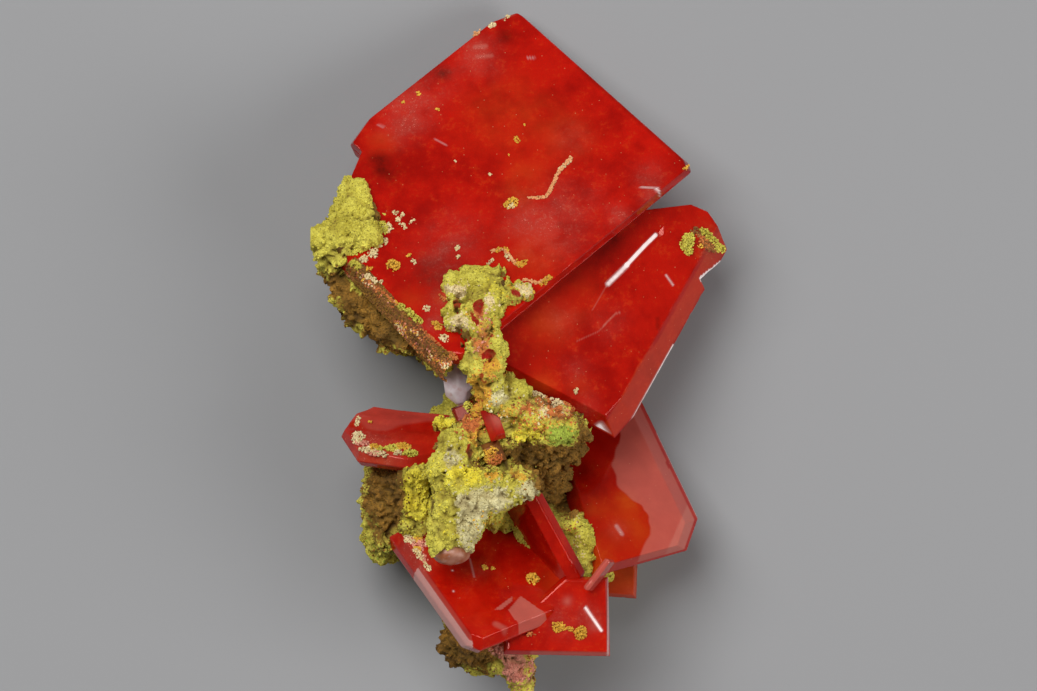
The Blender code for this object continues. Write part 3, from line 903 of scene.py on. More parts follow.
# The side bud is darkened all over by smoke and dust: painted shade.
side_bud_marks = {"smoke": [(0.0, 0.0, 1.5, 1.0)], "dust": [(0.0, 0.0, 1.5, 0.2)]}
for name, crystal, finish, marks, seed in (
    # The upper bud's frost spot is a painted highlight: the pale pink of a facet that catches the light.
    ("upper_bud", UPPER_BUD, bud_red, {"frost": [(0.1, 0.1, 0.45, 0.9)]}, 12),
    ("lower_bud", LOWER_BUD, bud_amber, {"dust": [(0.0, 0.0, 1.2, 0.7)]}, 13),
    ("side_bud", SIDE_BUD, bud_red, side_bud_marks, 14),
):
    node = f"{name}_crystal"
    grow_crystal(f"{name}_skin", crystal, 0.1, finish, marks, None, seed, node, "bud_crystals")

# ---------------------------------------------------------------------------------------------
# The quartz stub: a clouded, pale pinkish prism, half sunk in the crust by the main crystal's foot.
QUARTZ_SOAK = {"Color": (0.80, 0.55, 0.58, 1), "Density": 200.0}


def quartz_finish(name, dark, light, stain):
    """Milky quartz: pale and see-through, with cloudy veils inside and stains."""
    material, shader, output, wire = new_finish(name)
    place = millimetres(wire)
    veil = noise(wire, place, 0.9, 4.0, 0.6)
    colour = veil.between(0.35, 0.65).mix(dark, light)
    stained = noise(wire, place, 0.5, 3.0).between(0.55, 0.7)
    colour = (stained * 0.5).mix(colour, stain)
    plug(colour, shader.inputs["Base Color"])
    plug(0.25 + 0.35 * veil, shader.inputs["Roughness"])
    shader.inputs["Transmission Weight"].default_value = 0.2
    shader.inputs["IOR"].default_value = 1.54
    plug(wire.node("ShaderNodeVolumeAbsorption", None, QUARTZ_SOAK), output.inputs["Volume"])
    return material


WELD = 0.000001  # metres: corners of a CAD mesh that lie nearer than this are one
STUB_EDGE = 0.0003  # metres
STUB_SHADES = (0.78, 0.58, 0.60), (0.94, 0.84, 0.86), (0.66, 0.36, 0.32)
stub_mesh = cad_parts["quartz_stub"].data.copy()
stub_mesh.materials.clear()
stub_mesh.materials.append(quartz_finish("quartz", *STUB_SHADES))
stub = bpy.data.objects.new("rounded_stub", stub_mesh)
bpy.context.scene.collection.objects.link(stub)
stub.modifiers.new("weld", "WELD").merge_threshold = WELD
worn = stub.modifiers.new("worn edges", "BEVEL")
worn.width, worn.segments, worn.limit_method = STUB_EDGE, 4, "ANGLE"
stub_mesh.shade_smooth()
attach(stub, "root")
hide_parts("quartz_stub")

# ---------------------------------------------------------------------------------------------
# The rock: a crumbly olive-brown matrix, made in five pieces that overlap inside one another. Tens
# of thousands of tiny angular grains of yellow-green lead minerals crust its outside.
ROCK_VOXEL = 0.11
ROCK_OVERLAP = 0.3
BOX_HALF = 30  # half the width of the boxes that cut the pieces, more than the rock's own
ROCK_PIECES = {  # each piece lies between two heights along Y; the last number counts its grains
    "top": (2.0, 30.0, 6800),
    "foot": (-3.4, 2.0, 6000),
    "neck": (-8.2, -3.4, 7600),
    "nodule": (-12.9, -8.2, 7000),
    "tail": (-40.0, -12.9, 5600),
}
CRYSTALS = [
    MAIN, RIGHT, LOWER_RIGHT, BACK, BOTTOM, LEDGE, BLADE, SPLINTER, LEFT, UPPER_BUD, LOWER_BUD, SIDE_BUD,
]
SEAT_DEPTH = 0.03  # how far the crust bites into a crystal that it touches
SEAT_REACH = 0.45  # how near to a crystal's face the crust is drawn onto it, from outside and inside
SEAT_INSIDE = 1.2
# Height, size, seed, and how much more of it there is where the rock is bare
SWELLS = [(0.19, 1.4, 64, -0.4), (0.18, 0.70, 65, 0.1), (0.10, 0.34, 66, 1.0)]
# Hollows and gaps in the crust: (x, y, half width, half length, depth), seen from above
HOLLOWS = [
    (-2.3, 2.5, 0.3, 0.4, 0.5), (-1.8, -0.4, 0.5, 0.4, 0.6), (-2.2, -2.4, 0.4, 0.25, 0.5),
    (-0.4, -4.7, 0.35, 0.25, 0.5), (1.3, -5.3, 0.3, 0.2, 0.6), (-1.7, 0.9, 0.25, 0.4, 0.4),
    (-4.1, 2.5, 0.35, 0.4, 0.8), (-2.9, 1.4, 0.25, 0.5, 0.4), (-2.8, -6.6, 0.3, 0.5, 0.9),
    (-0.9, -7.3, 0.5, 0.25, 1.0), (0.6, -7.0, 0.9, 0.3, 0.8), (-5.4, -9.6, 0.18, 1.5, 0.9),
    (-7.3, -9.0, 0.3, 0.7, 0.5), (-4.3, -13.2, 1.3, 0.5, 0.5), (-3.4, -12.9, 0.6, 0.5, 0.7),
]


def knobs(points, size, seed):
    """Rounded knobs: one scattered centre in each cube of the size, and a dome round each that is 1
    at the centre and falls with the square of the distance to the nearest one."""
    place = points / size + 500
    cell = np.floor(place).astype(np.int64)
    nearest = np.full(len(points), 9.0)
    for step in np.ndindex(3, 3, 3):
        near = cell + (np.array(step) - 1)
        centre = near + np.stack([lattice_value(near, seed + axis) for axis in (0, 40, 80)], 1)
        nearest = np.minimum(nearest, ((place - centre) ** 2).sum(1))
    return 1 - np.clip(nearest, 0, 1)


def way_out(points, crystal):
    """(distance, direction) from each point out of a crystal: over its planes, the largest distance
    outside one, and that plane's normal. The distance is below 0 inside."""
    local = in_crystal(points, crystal)
    azimuth, reach, upper, lower = rim_planes(crystal)
    kept = upper != WALL
    azimuth, reach = np.radians(azimuth[kept]), reach[kept]
    normals, offsets = [[0, 0, 1], [0, 0, -1]], [crystal["thickness"] / 2] * 2
    for side, slope in ((1, np.radians(upper[kept])), (-1, np.radians(lower[kept]))):
        flat, up = np.sin(slope), side * np.cos(slope)
        normals += np.stack([np.cos(azimuth) * flat, np.sin(azimuth) * flat, up], 1).tolist()
        offsets += (reach * flat).tolist()
    normals = np.array(normals)
    distances = local @ normals.T - np.array(offsets)
    which = distances.argmax(1)
    return distances.max(1), normals[which] @ crystal_axes(crystal)[1].T


def cut_copy(node, low, high):
    """A merged copy of a CAD node, kept between two heights along Y by a box."""
    mesh = node.data.copy()
    copy = bpy.data.objects.new("rock copy", mesh)
    box_mesh = bpy.data.meshes.new("box")
    across = (-BOX_HALF, BOX_HALF)
    corners = [(x, y, z) for x in across for y in (low, high) for z in across]
    sides = [(0, 1, 3, 2), (4, 6, 7, 5), (0, 4, 5, 1), (2, 3, 7, 6), (0, 2, 6, 4), (1, 5, 7, 3)]
    box_mesh.from_pydata((np.array(corners) * MM).tolist(), [], sides)
    box = bpy.data.objects.new("box", box_mesh)
    for item in (copy, box):
        bpy.context.scene.collection.objects.link(item)
    copy.modifiers.new("weld", "WELD").merge_threshold = WELD
    cut = copy.modifiers.new("cut", "BOOLEAN")
    cut.operation, cut.solver, cut.object = "INTERSECT", "MANIFOLD", box
    return copy, box


def evaluated(item):
    """The item's mesh with its modifiers, as (points in millimetres, normals, face corners)."""
    graph = bpy.context.evaluated_depsgraph_get()
    mesh = bpy.data.meshes.new_from_object(item.evaluated_get(graph))
    count = len(mesh.vertices)
    points, normals = np.empty(count * 3), np.empty(count * 3)
    mesh.vertices.foreach_get("co", points)
    mesh.vertices.foreach_get("normal", normals)
    corners = np.empty(len(mesh.loops), np.int32)
    mesh.loops.foreach_get("vertex_index", corners)
    return points.reshape(-1, 3) / MM, normals.reshape(-1, 3), corners.reshape(-1, 4)


def bells(points, spots):
    """Patches seen from above, each (x, y, half width, half length, strength): flat near the middle
    and falling off round the edge, added up. Noise shifts their edges to and fro."""
    shift = 0.5 * clouds(points, 1.0, 90, 2) + 0.25 * clouds(points, 0.35, 91, 2)
    other = 0.5 * clouds(points, 1.0, 92, 2) + 0.25 * clouds(points, 0.35, 93, 2)
    total = np.zeros(len(points))
    for x, y, half_x, half_y, strength in spots:
        away = ((points[:, 0] + shift - x) / half_x) ** 2 + ((points[:, 1] + other - y) / half_y) ** 2
        total += strength * np.exp(-(away**1.5))
    return total


WARP = 0.2  # how far the knobs and swells are bent out of true
KNOB_HEIGHT, KNOB_SIZE = 0.10, 0.5
ROLL_HEIGHT, ROLL_SIZE = 0.12, 2.0
PORE_DEPTH, PORE_SIZE = 0.28, 0.55
BARE_PORE_DEPTH, BARE_PORE_SIZE = 0.30, 1.1  # the wider pores of the bare rock


def rough_rock(points, normals):
    """(points, crag) of the crust: knobs, a long roll, swells of three sizes with creases between
    them and small round pores stand out or sink in along the normals, and the hollows sink. crag is
    how far each point stands out, in millimetres."""
    warp = np.stack([clouds(points, 0.8, seed) for seed in (50, 51, 52)], 1) * WARP
    bare = np.clip(bells(points, TONES["olive"]), 0, 1)
    crag = KNOB_HEIGHT * (knobs(points + warp, KNOB_SIZE, 60) - 0.45)
    crag += ROLL_HEIGHT * clouds(points, ROLL_SIZE, 62)
    for height, size, seed, more in SWELLS:
        crag += (1 + more * bare) * height * (2.6 * np.abs(clouds(points + warp, size, seed)) - 0.7)
    crag -= PORE_DEPTH * rise(knobs(points + warp, PORE_SIZE, 63), 0.90, 1)
    crag -= BARE_PORE_DEPTH * bare * rise(knobs(points + 2 * warp, BARE_PORE_SIZE, 67), 0.84, 1)
    points = points + normals * crag[:, None]
    sunk = bells(points, HOLLOWS)
    points[:, 2] -= sunk * np.clip(normals[:, 2], 0, 1)
    return points, crag - 0.5 * np.clip(sunk, 0, 1)


def seated(points):
    """Draws the crust onto each crystal that it nearly touches, and out of each that it enters."""
    for crystal in CRYSTALS:
        distance, out = way_out(points, crystal)
        near = (distance < SEAT_REACH) & (distance > -SEAT_INSIDE)
        points = np.where(near[:, None], points - out * (distance + SEAT_DEPTH)[:, None], points)
    return points


# The crust's colours, each from dark to light. Where a mesh names none, it is the plain crust
CRUST_DARK = (0.40, 0.32, 0.022)
CRUST_LIGHT = (0.86, 0.79, 0.13)
SHADES = {
    "lemon": ((0.70, 0.54, 0.02), (0.97, 0.87, 0.09)),
    "cream": ((0.64, 0.47, 0.19), (0.94, 0.79, 0.47)),
    "grey": ((0.48, 0.40, 0.16), (0.84, 0.77, 0.44)),
    "amber": ((0.60, 0.28, 0.02), (0.93, 0.56, 0.07)),
    "peach": ((0.70, 0.28, 0.10), (0.94, 0.50, 0.23)),
    "umber": ((0.055, 0.016, 0.004), (0.43, 0.175, 0.046)),
    "rust": ((0.42, 0.08, 0.02), (0.78, 0.27, 0.07)),
    "green": ((0.24, 0.30, 0.02), (0.52, 0.62, 0.09)),
    "pink": ((0.50, 0.12, 0.08), (0.90, 0.42, 0.30)),
    "olive": ((0.055, 0.024, 0.005), (0.53, 0.26, 0.034)),
    "red": ((0.26, 0.004, 0.002), (0.46, 0.012, 0.004)),
}


MOTTLE_SHADE = (0.045, 0.022, 0.005)  # painted shade: the browns of the dark specks, creases, pits and pores
CREASE_SHADE = (0.20, 0.115, 0.014)
PIT_SHADE = (0.07, 0.032, 0.006)
PORE_SHADE = (0.13, 0.075, 0.012)


def rock_finish():
    """Crust in its shades, each broken up by noise, with painted shade darkening its creases, pits and
    pores.
    The mesh holds how far each point stands out, its tint, and how much it has of each shade."""
    material, shader, _, wire = new_finish("crusted rock")
    place = millimetres(wire)
    crag = field(wire, "crag")
    broad = noise(wire, place, 2.2, 3.0, 0.55)
    mid = noise(wire, place, 0.6, 4.0, 0.6)
    fine = noise(wire, place, 0.13, 4.0, 0.7)
    shade = ((0.35 * broad + 0.35 * mid).between(0.24, 0.44) * 0.4 + 0.6 * field(wire, "tint")).clamp()
    colour = shade.mix(CRUST_DARK, CRUST_LIGHT)
    for kind, (dark, light) in SHADES.items():
        cover = (field(wire, kind) * (0.2 + 1.5 * mid)).between(0.35, 0.6)
        colour = cover.mix(colour, shade.mix(dark, light))
    # Painted shade: the olive rock's fine hollows, the creases and pits where the crust sinks, and the
    # pores of the bump are darkened.
    mottle = (field(wire, "olive") * (1 - fine.between(0.40, 0.60)) * 0.55).clamp()
    colour = mottle.mix(colour, MOTTLE_SHADE)
    crease = 1 - crag.between(-0.20, 0.10)
    colour = (crease * 0.42).mix(colour, CREASE_SHADE)
    pit = 1 - crag.between(-0.36, -0.12)
    colour = (pit * 0.85).mix(colour, PIT_SHADE)
    pore = 1 - fine.between(0.34, 0.47)
    colour = (pore * 0.85).mix(colour, PORE_SHADE)
    plug(colour, shader.inputs["Base Color"])
    shader.inputs["Roughness"].default_value = 0.75
    shader.inputs["Specular IOR Level"].default_value = 0.25
    relief = {"Height": fine + 0.5 * mid, "Strength": 0.9, "Distance": 0.00007}
    plug(wire.node("ShaderNodeBump", None, relief), shader.inputs["Normal"])
    return material


crust_finish = rock_finish()
# Where the rock isn't plain yellow crust, seen from above: (x, y, half width, half length, strength)
TONES = {
    "olive": [
        (-11.6, 3.8, 1.2, 0.9, 0.9), (-10.0, 2.2, 1.5, 1.2, 0.9), (-8.3, 0.8, 1.5, 1.0, 1.0),
        (-6.9, 0.2, 1.3, 0.9, 1.0), (-5.6, -0.8, 1.0, 0.7, 0.8), (-8.4, -9.4, 1.6, 2.3, 1.0),
        (-8.5, -12.4, 1.2, 1.2, 0.3), (-0.7, -5.7, 0.5, 0.5, 0.7), (1.6, -6.9, 3.2, 0.75, 1.0),
        (4.0, -5.8, 0.6, 1.0, 1.0), (2.6, -8.6, 2.0, 1.6, 1.0), (3.2, -10.2, 0.9, 0.8, 0.6),
        (0.3, -11.8, 0.7, 1.4, 1.0), (-4.2, -18.9, 1.7, 1.6, 1.0), (-2.2, -19.6, 0.8, 1.0, 0.8),
    ],
    "lemon": [
        (-6.4, -9.4, 0.9, 2.1, 1.0), (-4.6, -7.6, 1.0, 1.2, 0.4), (3.4, -11.0, 0.5, 1.2, 0.5),
        (-4.9, -4.8, 0.9, 0.5, 1.0), (0.5, -5.4, 1.2, 0.8, 0.7), (-3.2, -8.0, 1.3, 0.8, 0.7),
        (-4.6, -10.6, 0.7, 1.6, 0.4), (-1.6, 3.6, 0.9, 0.8, 0.5),
    ],
    "red": [
        (-2.3, 2.4, 0.35, 0.5, 1.0), (-1.8, -0.4, 0.55, 0.45, 1.3), (-4.1, 2.5, 0.4, 0.45, 1.0),
        (-2.7, 1.3, 0.25, 0.7, 0.9), (-1.7, 0.9, 0.25, 0.5, 0.9), (-0.4, 3.4, 0.3, 0.4, 0.7),
        (-2.1, -1.9, 0.25, 0.4, 0.6), (-3.0, -6.4, 0.4, 0.5, 0.7),
    ],
    "cream": [
        (-3.9, 3.4, 0.95, 0.65, 1.0), (-3.9, 1.4, 0.8, 0.8, 0.7), (-0.9, -4.4, 0.7, 0.6, 0.5),
        (-1.6, 2.7, 0.4, 0.5, 0.8), (0.3, 3.5, 0.8, 0.7, 0.6), (-2.3, 0.8, 0.9, 1.3, 0.4),
        (2.3, -4.3, 1.5, 0.6, 0.65), (3.6, -12.0, 0.6, 1.5, 0.35),
    ],
    "grey": [
        (-1.3, -3.2, 1.0, 0.8, 0.7), (-4.3, -7.0, 0.7, 1.2, 0.7), (-2.0, -9.6, 1.7, 1.0, 1.0),
        (0.7, -9.2, 0.7, 0.9, 0.9), (-3.1, -11.4, 0.9, 1.6, 0.9),
    ],
    "amber": [
        (-1.8, -1.1, 0.6, 0.4, 0.9), (-2.5, -3.0, 0.8, 1.4, 0.85), (-1.3, -1.6, 0.7, 0.5, 0.5),
        (-2.7, -5.2, 0.5, 1.4, 0.75), (-0.6, -4.2, 1.0, 0.7, 0.5), (1.4, -5.0, 1.4, 0.8, 0.5),
        (0.1, 3.3, 0.9, 0.7, 0.3), (-2.2, 0.8, 0.8, 1.8, 0.35), (-2.0, -11.0, 1.2, 0.5, 0.25),
        (-1.6, -8.2, 0.4, 0.3, 0.9), (0.0, -8.2, 0.6, 0.4, 0.7), (-9.6, 2.3, 1.3, 0.4, 0.5),
    ],
    "rust": [
        (-2.1, 0.4, 0.8, 1.7, 0.6), (-2.3, 2.3, 0.5, 0.6, 0.6), (0.9, -3.9, 1.6, 0.4, 0.5),
        (2.2, -4.9, 1.4, 0.6, 0.35), (-1.8, -1.9, 0.8, 0.5, 0.4), (2.8, -4.3, 0.9, 0.5, 0.5),
        (0.2, 2.9, 0.7, 0.4, 0.35), (-2.6, -4.2, 0.6, 1.8, 0.4), (0.3, -4.6, 1.4, 0.6, 0.25),
        (3.3, -11.4, 0.6, 1.2, 0.35), (-2.2, -18.6, 1.2, 0.6, 0.4), (-3.4, -4.9, 0.7, 0.5, 0.8),
        (-9.9, 2.4, 1.2, 0.4, 0.5), (-8.2, 1.4, 0.9, 0.35, 0.5), (0.9, -20.0, 0.6, 1.0, 0.5),
    ],
    "umber": [
        (2.4, -7.2, 3.0, 1.2, 0.6), (4.3, -5.9, 0.6, 0.8, 0.7), (1.6, -3.7, 2.4, 0.4, 0.6),
        (3.6, -4.6, 0.8, 0.8, 0.5), (-8.0, 1.2, 2.6, 1.2, 0.3), (-2.6, -7.3, 0.7, 0.5, 0.6),
        (0.6, -6.2, 1.6, 0.35, 0.4), (3.0, -9.6, 1.2, 1.4, 0.5), (-4.4, -18.6, 1.2, 1.0, 0.5),
    ],
    "green": [(2.6, -5.6, 0.95, 0.5, 1.0), (-9.1, -10.8, 0.45, 0.8, 0.9), (-8.7, -12.7, 0.9, 0.9, 0.4)],
    "pink": [(-0.2, -20.0, 1.1, 1.5, 1.0), (-1.3, -18.9, 0.6, 0.6, 0.9), (-2.2, 0.9, 0.7, 1.5, 0.35)],
}


def tones(points, normals, crag, tint):
    """The values that the crust's finish reads, one of each per point. Undersides turn olive."""
    fields = {kind: np.clip(bells(points, TONES.get(kind, [])), 0, 1) for kind in SHADES}
    fields["olive"] = np.clip(fields["olive"] + np.clip(-normals[:, 2] * 1.5 - 0.1, 0, 1), 0, 1)
    return {**fields, "crag": crag, "tint": tint}


GRAIN_LEAST = 0.04  # radii of the grains on the rock, and how much smaller they are on olive rock
GRAIN_MOST = 0.105
OLIVE_SMALLER = 0.3
GRAIN_LEVEL = (-0.35, 0.3)  # how high a grain's centre may lie over the rock, in radii
GRAIN_CORNERS = (0.72, 1.28)  # how far its corners are moved in and out, and how it is stretched
GRAIN_STRETCH = (0.75, 1.25)
GRAIN_BITE = 0.5  # how far it may reach into a crystal, in radii
GRAIN_CRAG = 0.2  # it is coloured as rock that stands out so far, so it gets no painted shade of creases and pits
GRAIN_TINT = 0.35  # how much lighter or darker it may be than its place
LIKELY = 1.15  # how much more often than its share a grain takes its place's shade, and on olive rock
LIKELY_OLIVE = 1.5


def bead():
    """(corners, faces) of a ball of radius 1 with 20 flat sides. Its 12 corners are the corners of
    three crossed golden rectangles, and each face joins three corners that lie closest."""
    golden = (1 + math.sqrt(5)) / 2
    ends = [(a, b) for a in (-1, 1) for b in (-golden, golden)]
    corners = np.array([np.roll((0, a, b), turn) for turn in range(3) for a, b in ends])
    apart = np.linalg.norm(corners[:, None] - corners[None], axis=2)
    near = np.isclose(apart, 2.0)
    faces = [
        (a, b, c) if np.linalg.det(corners[[a, b, c]]) > 0 else (a, c, b)
        for a in range(12)
        for b in range(a + 1, 12)
        for c in range(b + 1, 12)
        if near[a, b] and near[b, c] and near[a, c]
    ]
    return corners / np.linalg.norm(corners[0]), np.array(faces)


def turned(quaternions):
    """Rotation matrices of unit quaternions (w, x, y, z)."""
    w, x, y, z = quaternions.T
    rows = [
        [1 - 2 * (y * y + z * z), 2 * (x * y - z * w), 2 * (x * z + y * w)],
        [2 * (x * y + z * w), 1 - 2 * (x * x + z * z), 2 * (y * z - x * w)],
        [2 * (x * z - y * w), 2 * (y * z + x * w), 1 - 2 * (x * x + y * y)],
    ]
    return np.moveaxis(np.array(rows), 2, 0)


def grains(name, centres, radii, normals, dice, kinds=None):
    """One piece of many grains: each is a bead with its corners moved in and out, stretched, turned
    at random and put at its centre. Those that would stick far into a crystal or out of the rock's
    box are left out. A grain has a shade or hasn't: the one that kinds names, or else by chance, the
    more often the more its place has of it."""
    low, high = np.array(cad_box) / MM
    kept = np.all((centres > low + radii[:, None]) & (centres < high - radii[:, None]), axis=1)
    for crystal in CRYSTALS:
        kept &= way_out(centres, crystal)[0] > -GRAIN_BITE * radii
    centres, radii, normals = centres[kept], radii[kept], normals[kept]
    count = len(centres)
    corners, faces = bead()
    quaternions = dice.normal(size=(count, 4))
    turn = turned(quaternions / np.linalg.norm(quaternions, axis=1)[:, None])
    uneven = dice.uniform(*GRAIN_CORNERS, (count, len(corners), 1)) * corners
    stretch = dice.uniform(*GRAIN_STRETCH, (count, 1, 3)) * radii[:, None, None]
    points = (centres[:, None] + np.einsum("nij,nkj->nki", turn, uneven * stretch)).reshape(-1, 3)
    points = np.clip(points, low, high)
    tint = 0.5 + 0.3 * clouds(centres, 1.2, 70, 2) + dice.uniform(-GRAIN_TINT, GRAIN_TINT, count)
    fields = tones(centres, normals, np.full(count, GRAIN_CRAG), np.clip(tint, 0, 1))
    for kind in SHADES:
        likely = (LIKELY_OLIVE if kind == "olive" else LIKELY) * fields[kind] > dice.random(count)
        fields[kind] = (likely if kinds is None else kinds[kept] == kind).astype(float)
    fields["red"][:] = 0  # that is the crystals' own red, seen through the openings
    fields = {key: np.repeat(values, len(corners)) for key, values in fields.items()}
    faces = (faces[None] + len(corners) * np.arange(count)[:, None, None]).reshape(-1, 3)
    piece = make_piece(name, points, [faces.tolist()], fields)
    piece.data.materials.append(crust_finish)
    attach(piece, "root")


STEEP_SHARE = 0.12  # the share of grains that an upright face gets
DEEPEST = -0.08  # the crag and the red above and below which a face gets none
REDDEST = 0.4


def sprinkled(points, normals, crag, corners, low, high, count, dice):
    """(centres, radii, normals) of grains on the rock: faces are drawn by their size, more often
    where they look up, and a grain sits half sunk at a random place on each. Pits get none, and nor
    do the red openings."""
    a, b, c, d = points[corners.T]
    across = np.cross(c - a, d - b)
    size = np.linalg.norm(across, axis=1) / 2
    up = across[:, 2] / (2 * size + 1e-9)
    middle = (a + c) / 2
    wanted = size * (STEEP_SHARE + np.clip(up, 0, 1)) * (crag[corners[:, 0]] > DEEPEST)
    wanted *= (middle[:, 1] >= low) & (middle[:, 1] <= high)
    wanted *= bells(middle, TONES["red"]) < REDDEST
    drawn = dice.choice(len(corners), count, p=wanted / wanted.sum())
    u, v = dice.random((2, count, 1))
    place = (1 - u) * ((1 - v) * a[drawn] + v * d[drawn]) + u * ((1 - v) * b[drawn] + v * c[drawn])
    outward = normals[corners[drawn, 0]]
    radii = GRAIN_LEAST + (GRAIN_MOST - GRAIN_LEAST) * dice.random(count) ** 2
    radii *= 1 - OLIVE_SMALLER * np.clip(bells(place, TONES["olive"]), 0, 1)
    return place + outward * (radii * dice.uniform(*GRAIN_LEVEL, count))[:, None], radii, outward


for number, (name, (low, high, count)) in enumerate(ROCK_PIECES.items()):
    copy, box = cut_copy(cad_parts["matrix"], low - ROCK_OVERLAP, high + ROCK_OVERLAP)
    remesh = copy.modifiers.new("remesh", "REMESH")
    remesh.mode, remesh.voxel_size = "VOXEL", ROCK_VOXEL * MM
    soften = copy.modifiers.new("soften", "SMOOTH")
    soften.factor, soften.iterations = 0.5, 10
    points, normals, corners = evaluated(copy)
    for item in (copy, box):
        bpy.data.objects.remove(item)
    points, crag = rough_rock(points, normals)
    points = np.clip(seated(points), *(np.array(cad_box) / MM))
    tint = np.clip(0.4 + 0.35 * clouds(points, 1.2, 70, 2), 0, 1)
    fields = tones(points, normals, crag, tint)
    piece = make_piece(f"{name}_rock", points, [corners.tolist()], fields, crease=180)
    piece.data.materials.append(crust_finish)
    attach(piece, "root")
    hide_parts("matrix")
    dice = np.random.default_rng(100 + number)
    centres, radii, outward = sprinkled(points, normals, crag, corners, low, high, count, dice)
    grains(f"{name}_grains", centres, radii, outward, dice)

# ---------------------------------------------------------------------------------------------
# The nodule's end: a lump of the same quartz, brownish pink stained lavender, that the crust leaves
# bare.
def pebble(centre, half, size, roughness, rows, columns, seed):
    """(points, faces) of a ball stretched to its half sizes. Soft noise of the size pushes its
    surface in and out by up to the roughness, as a share."""
    down = np.linspace(0, math.pi, rows + 2)
    around = np.linspace(0, math.tau, columns, endpoint=False)
    grid = [
        (math.sin(angle) * math.cos(turn), math.sin(angle) * math.sin(turn), math.cos(angle))
        for angle in down[1:-1]
        for turn in around
    ]
    ball = np.array([(0, 0, 1), *grid, (0, 0, -1)])
    ball *= 1 + roughness * clouds(ball * half + centre, size, seed, 2)[:, None]
    return ball * half + centre, grid_faces(rows, columns)


NODULE_END = (-4.2, -12.9, 13.5)
NODULE_HALF = (1.25, 0.76, 1.05)
NODULE_SHADES = (0.34, 0.10, 0.035), (0.50, 0.23, 0.15), (0.46, 0.36, 0.36)
points, faces = pebble(NODULE_END, NODULE_HALF, size=0.8, roughness=0.14, rows=24, columns=48, seed=81)
nodule_end = make_piece("nodule_end", points, faces, crease=60)
nodule_end.data.materials.append(quartz_finish("nodule quartz", *NODULE_SHADES))
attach(nodule_end, "root")

# ---------------------------------------------------------------------------------------------
# The loose crust: patches of the same grains that lie on the crystals' faces and edges.
CHAIN_COVER = 1.4  # spots for each radius of a chain's length


def chain(path, radius):
    """Small round spots strung along a bent line, closer together than their radius."""
    spots = []
    for (x1, y1), (x2, y2) in zip(path[:-1], path[1:]):
        count = int(math.hypot(x2 - x1, y2 - y1) / radius * CHAIN_COVER) + 1
        for k in range(count):
            place = (x1 + (x2 - x1) * k / count, y1 + (y2 - y1) * k / count)
            spots.append((*place, radius, radius, radius))
    return spots


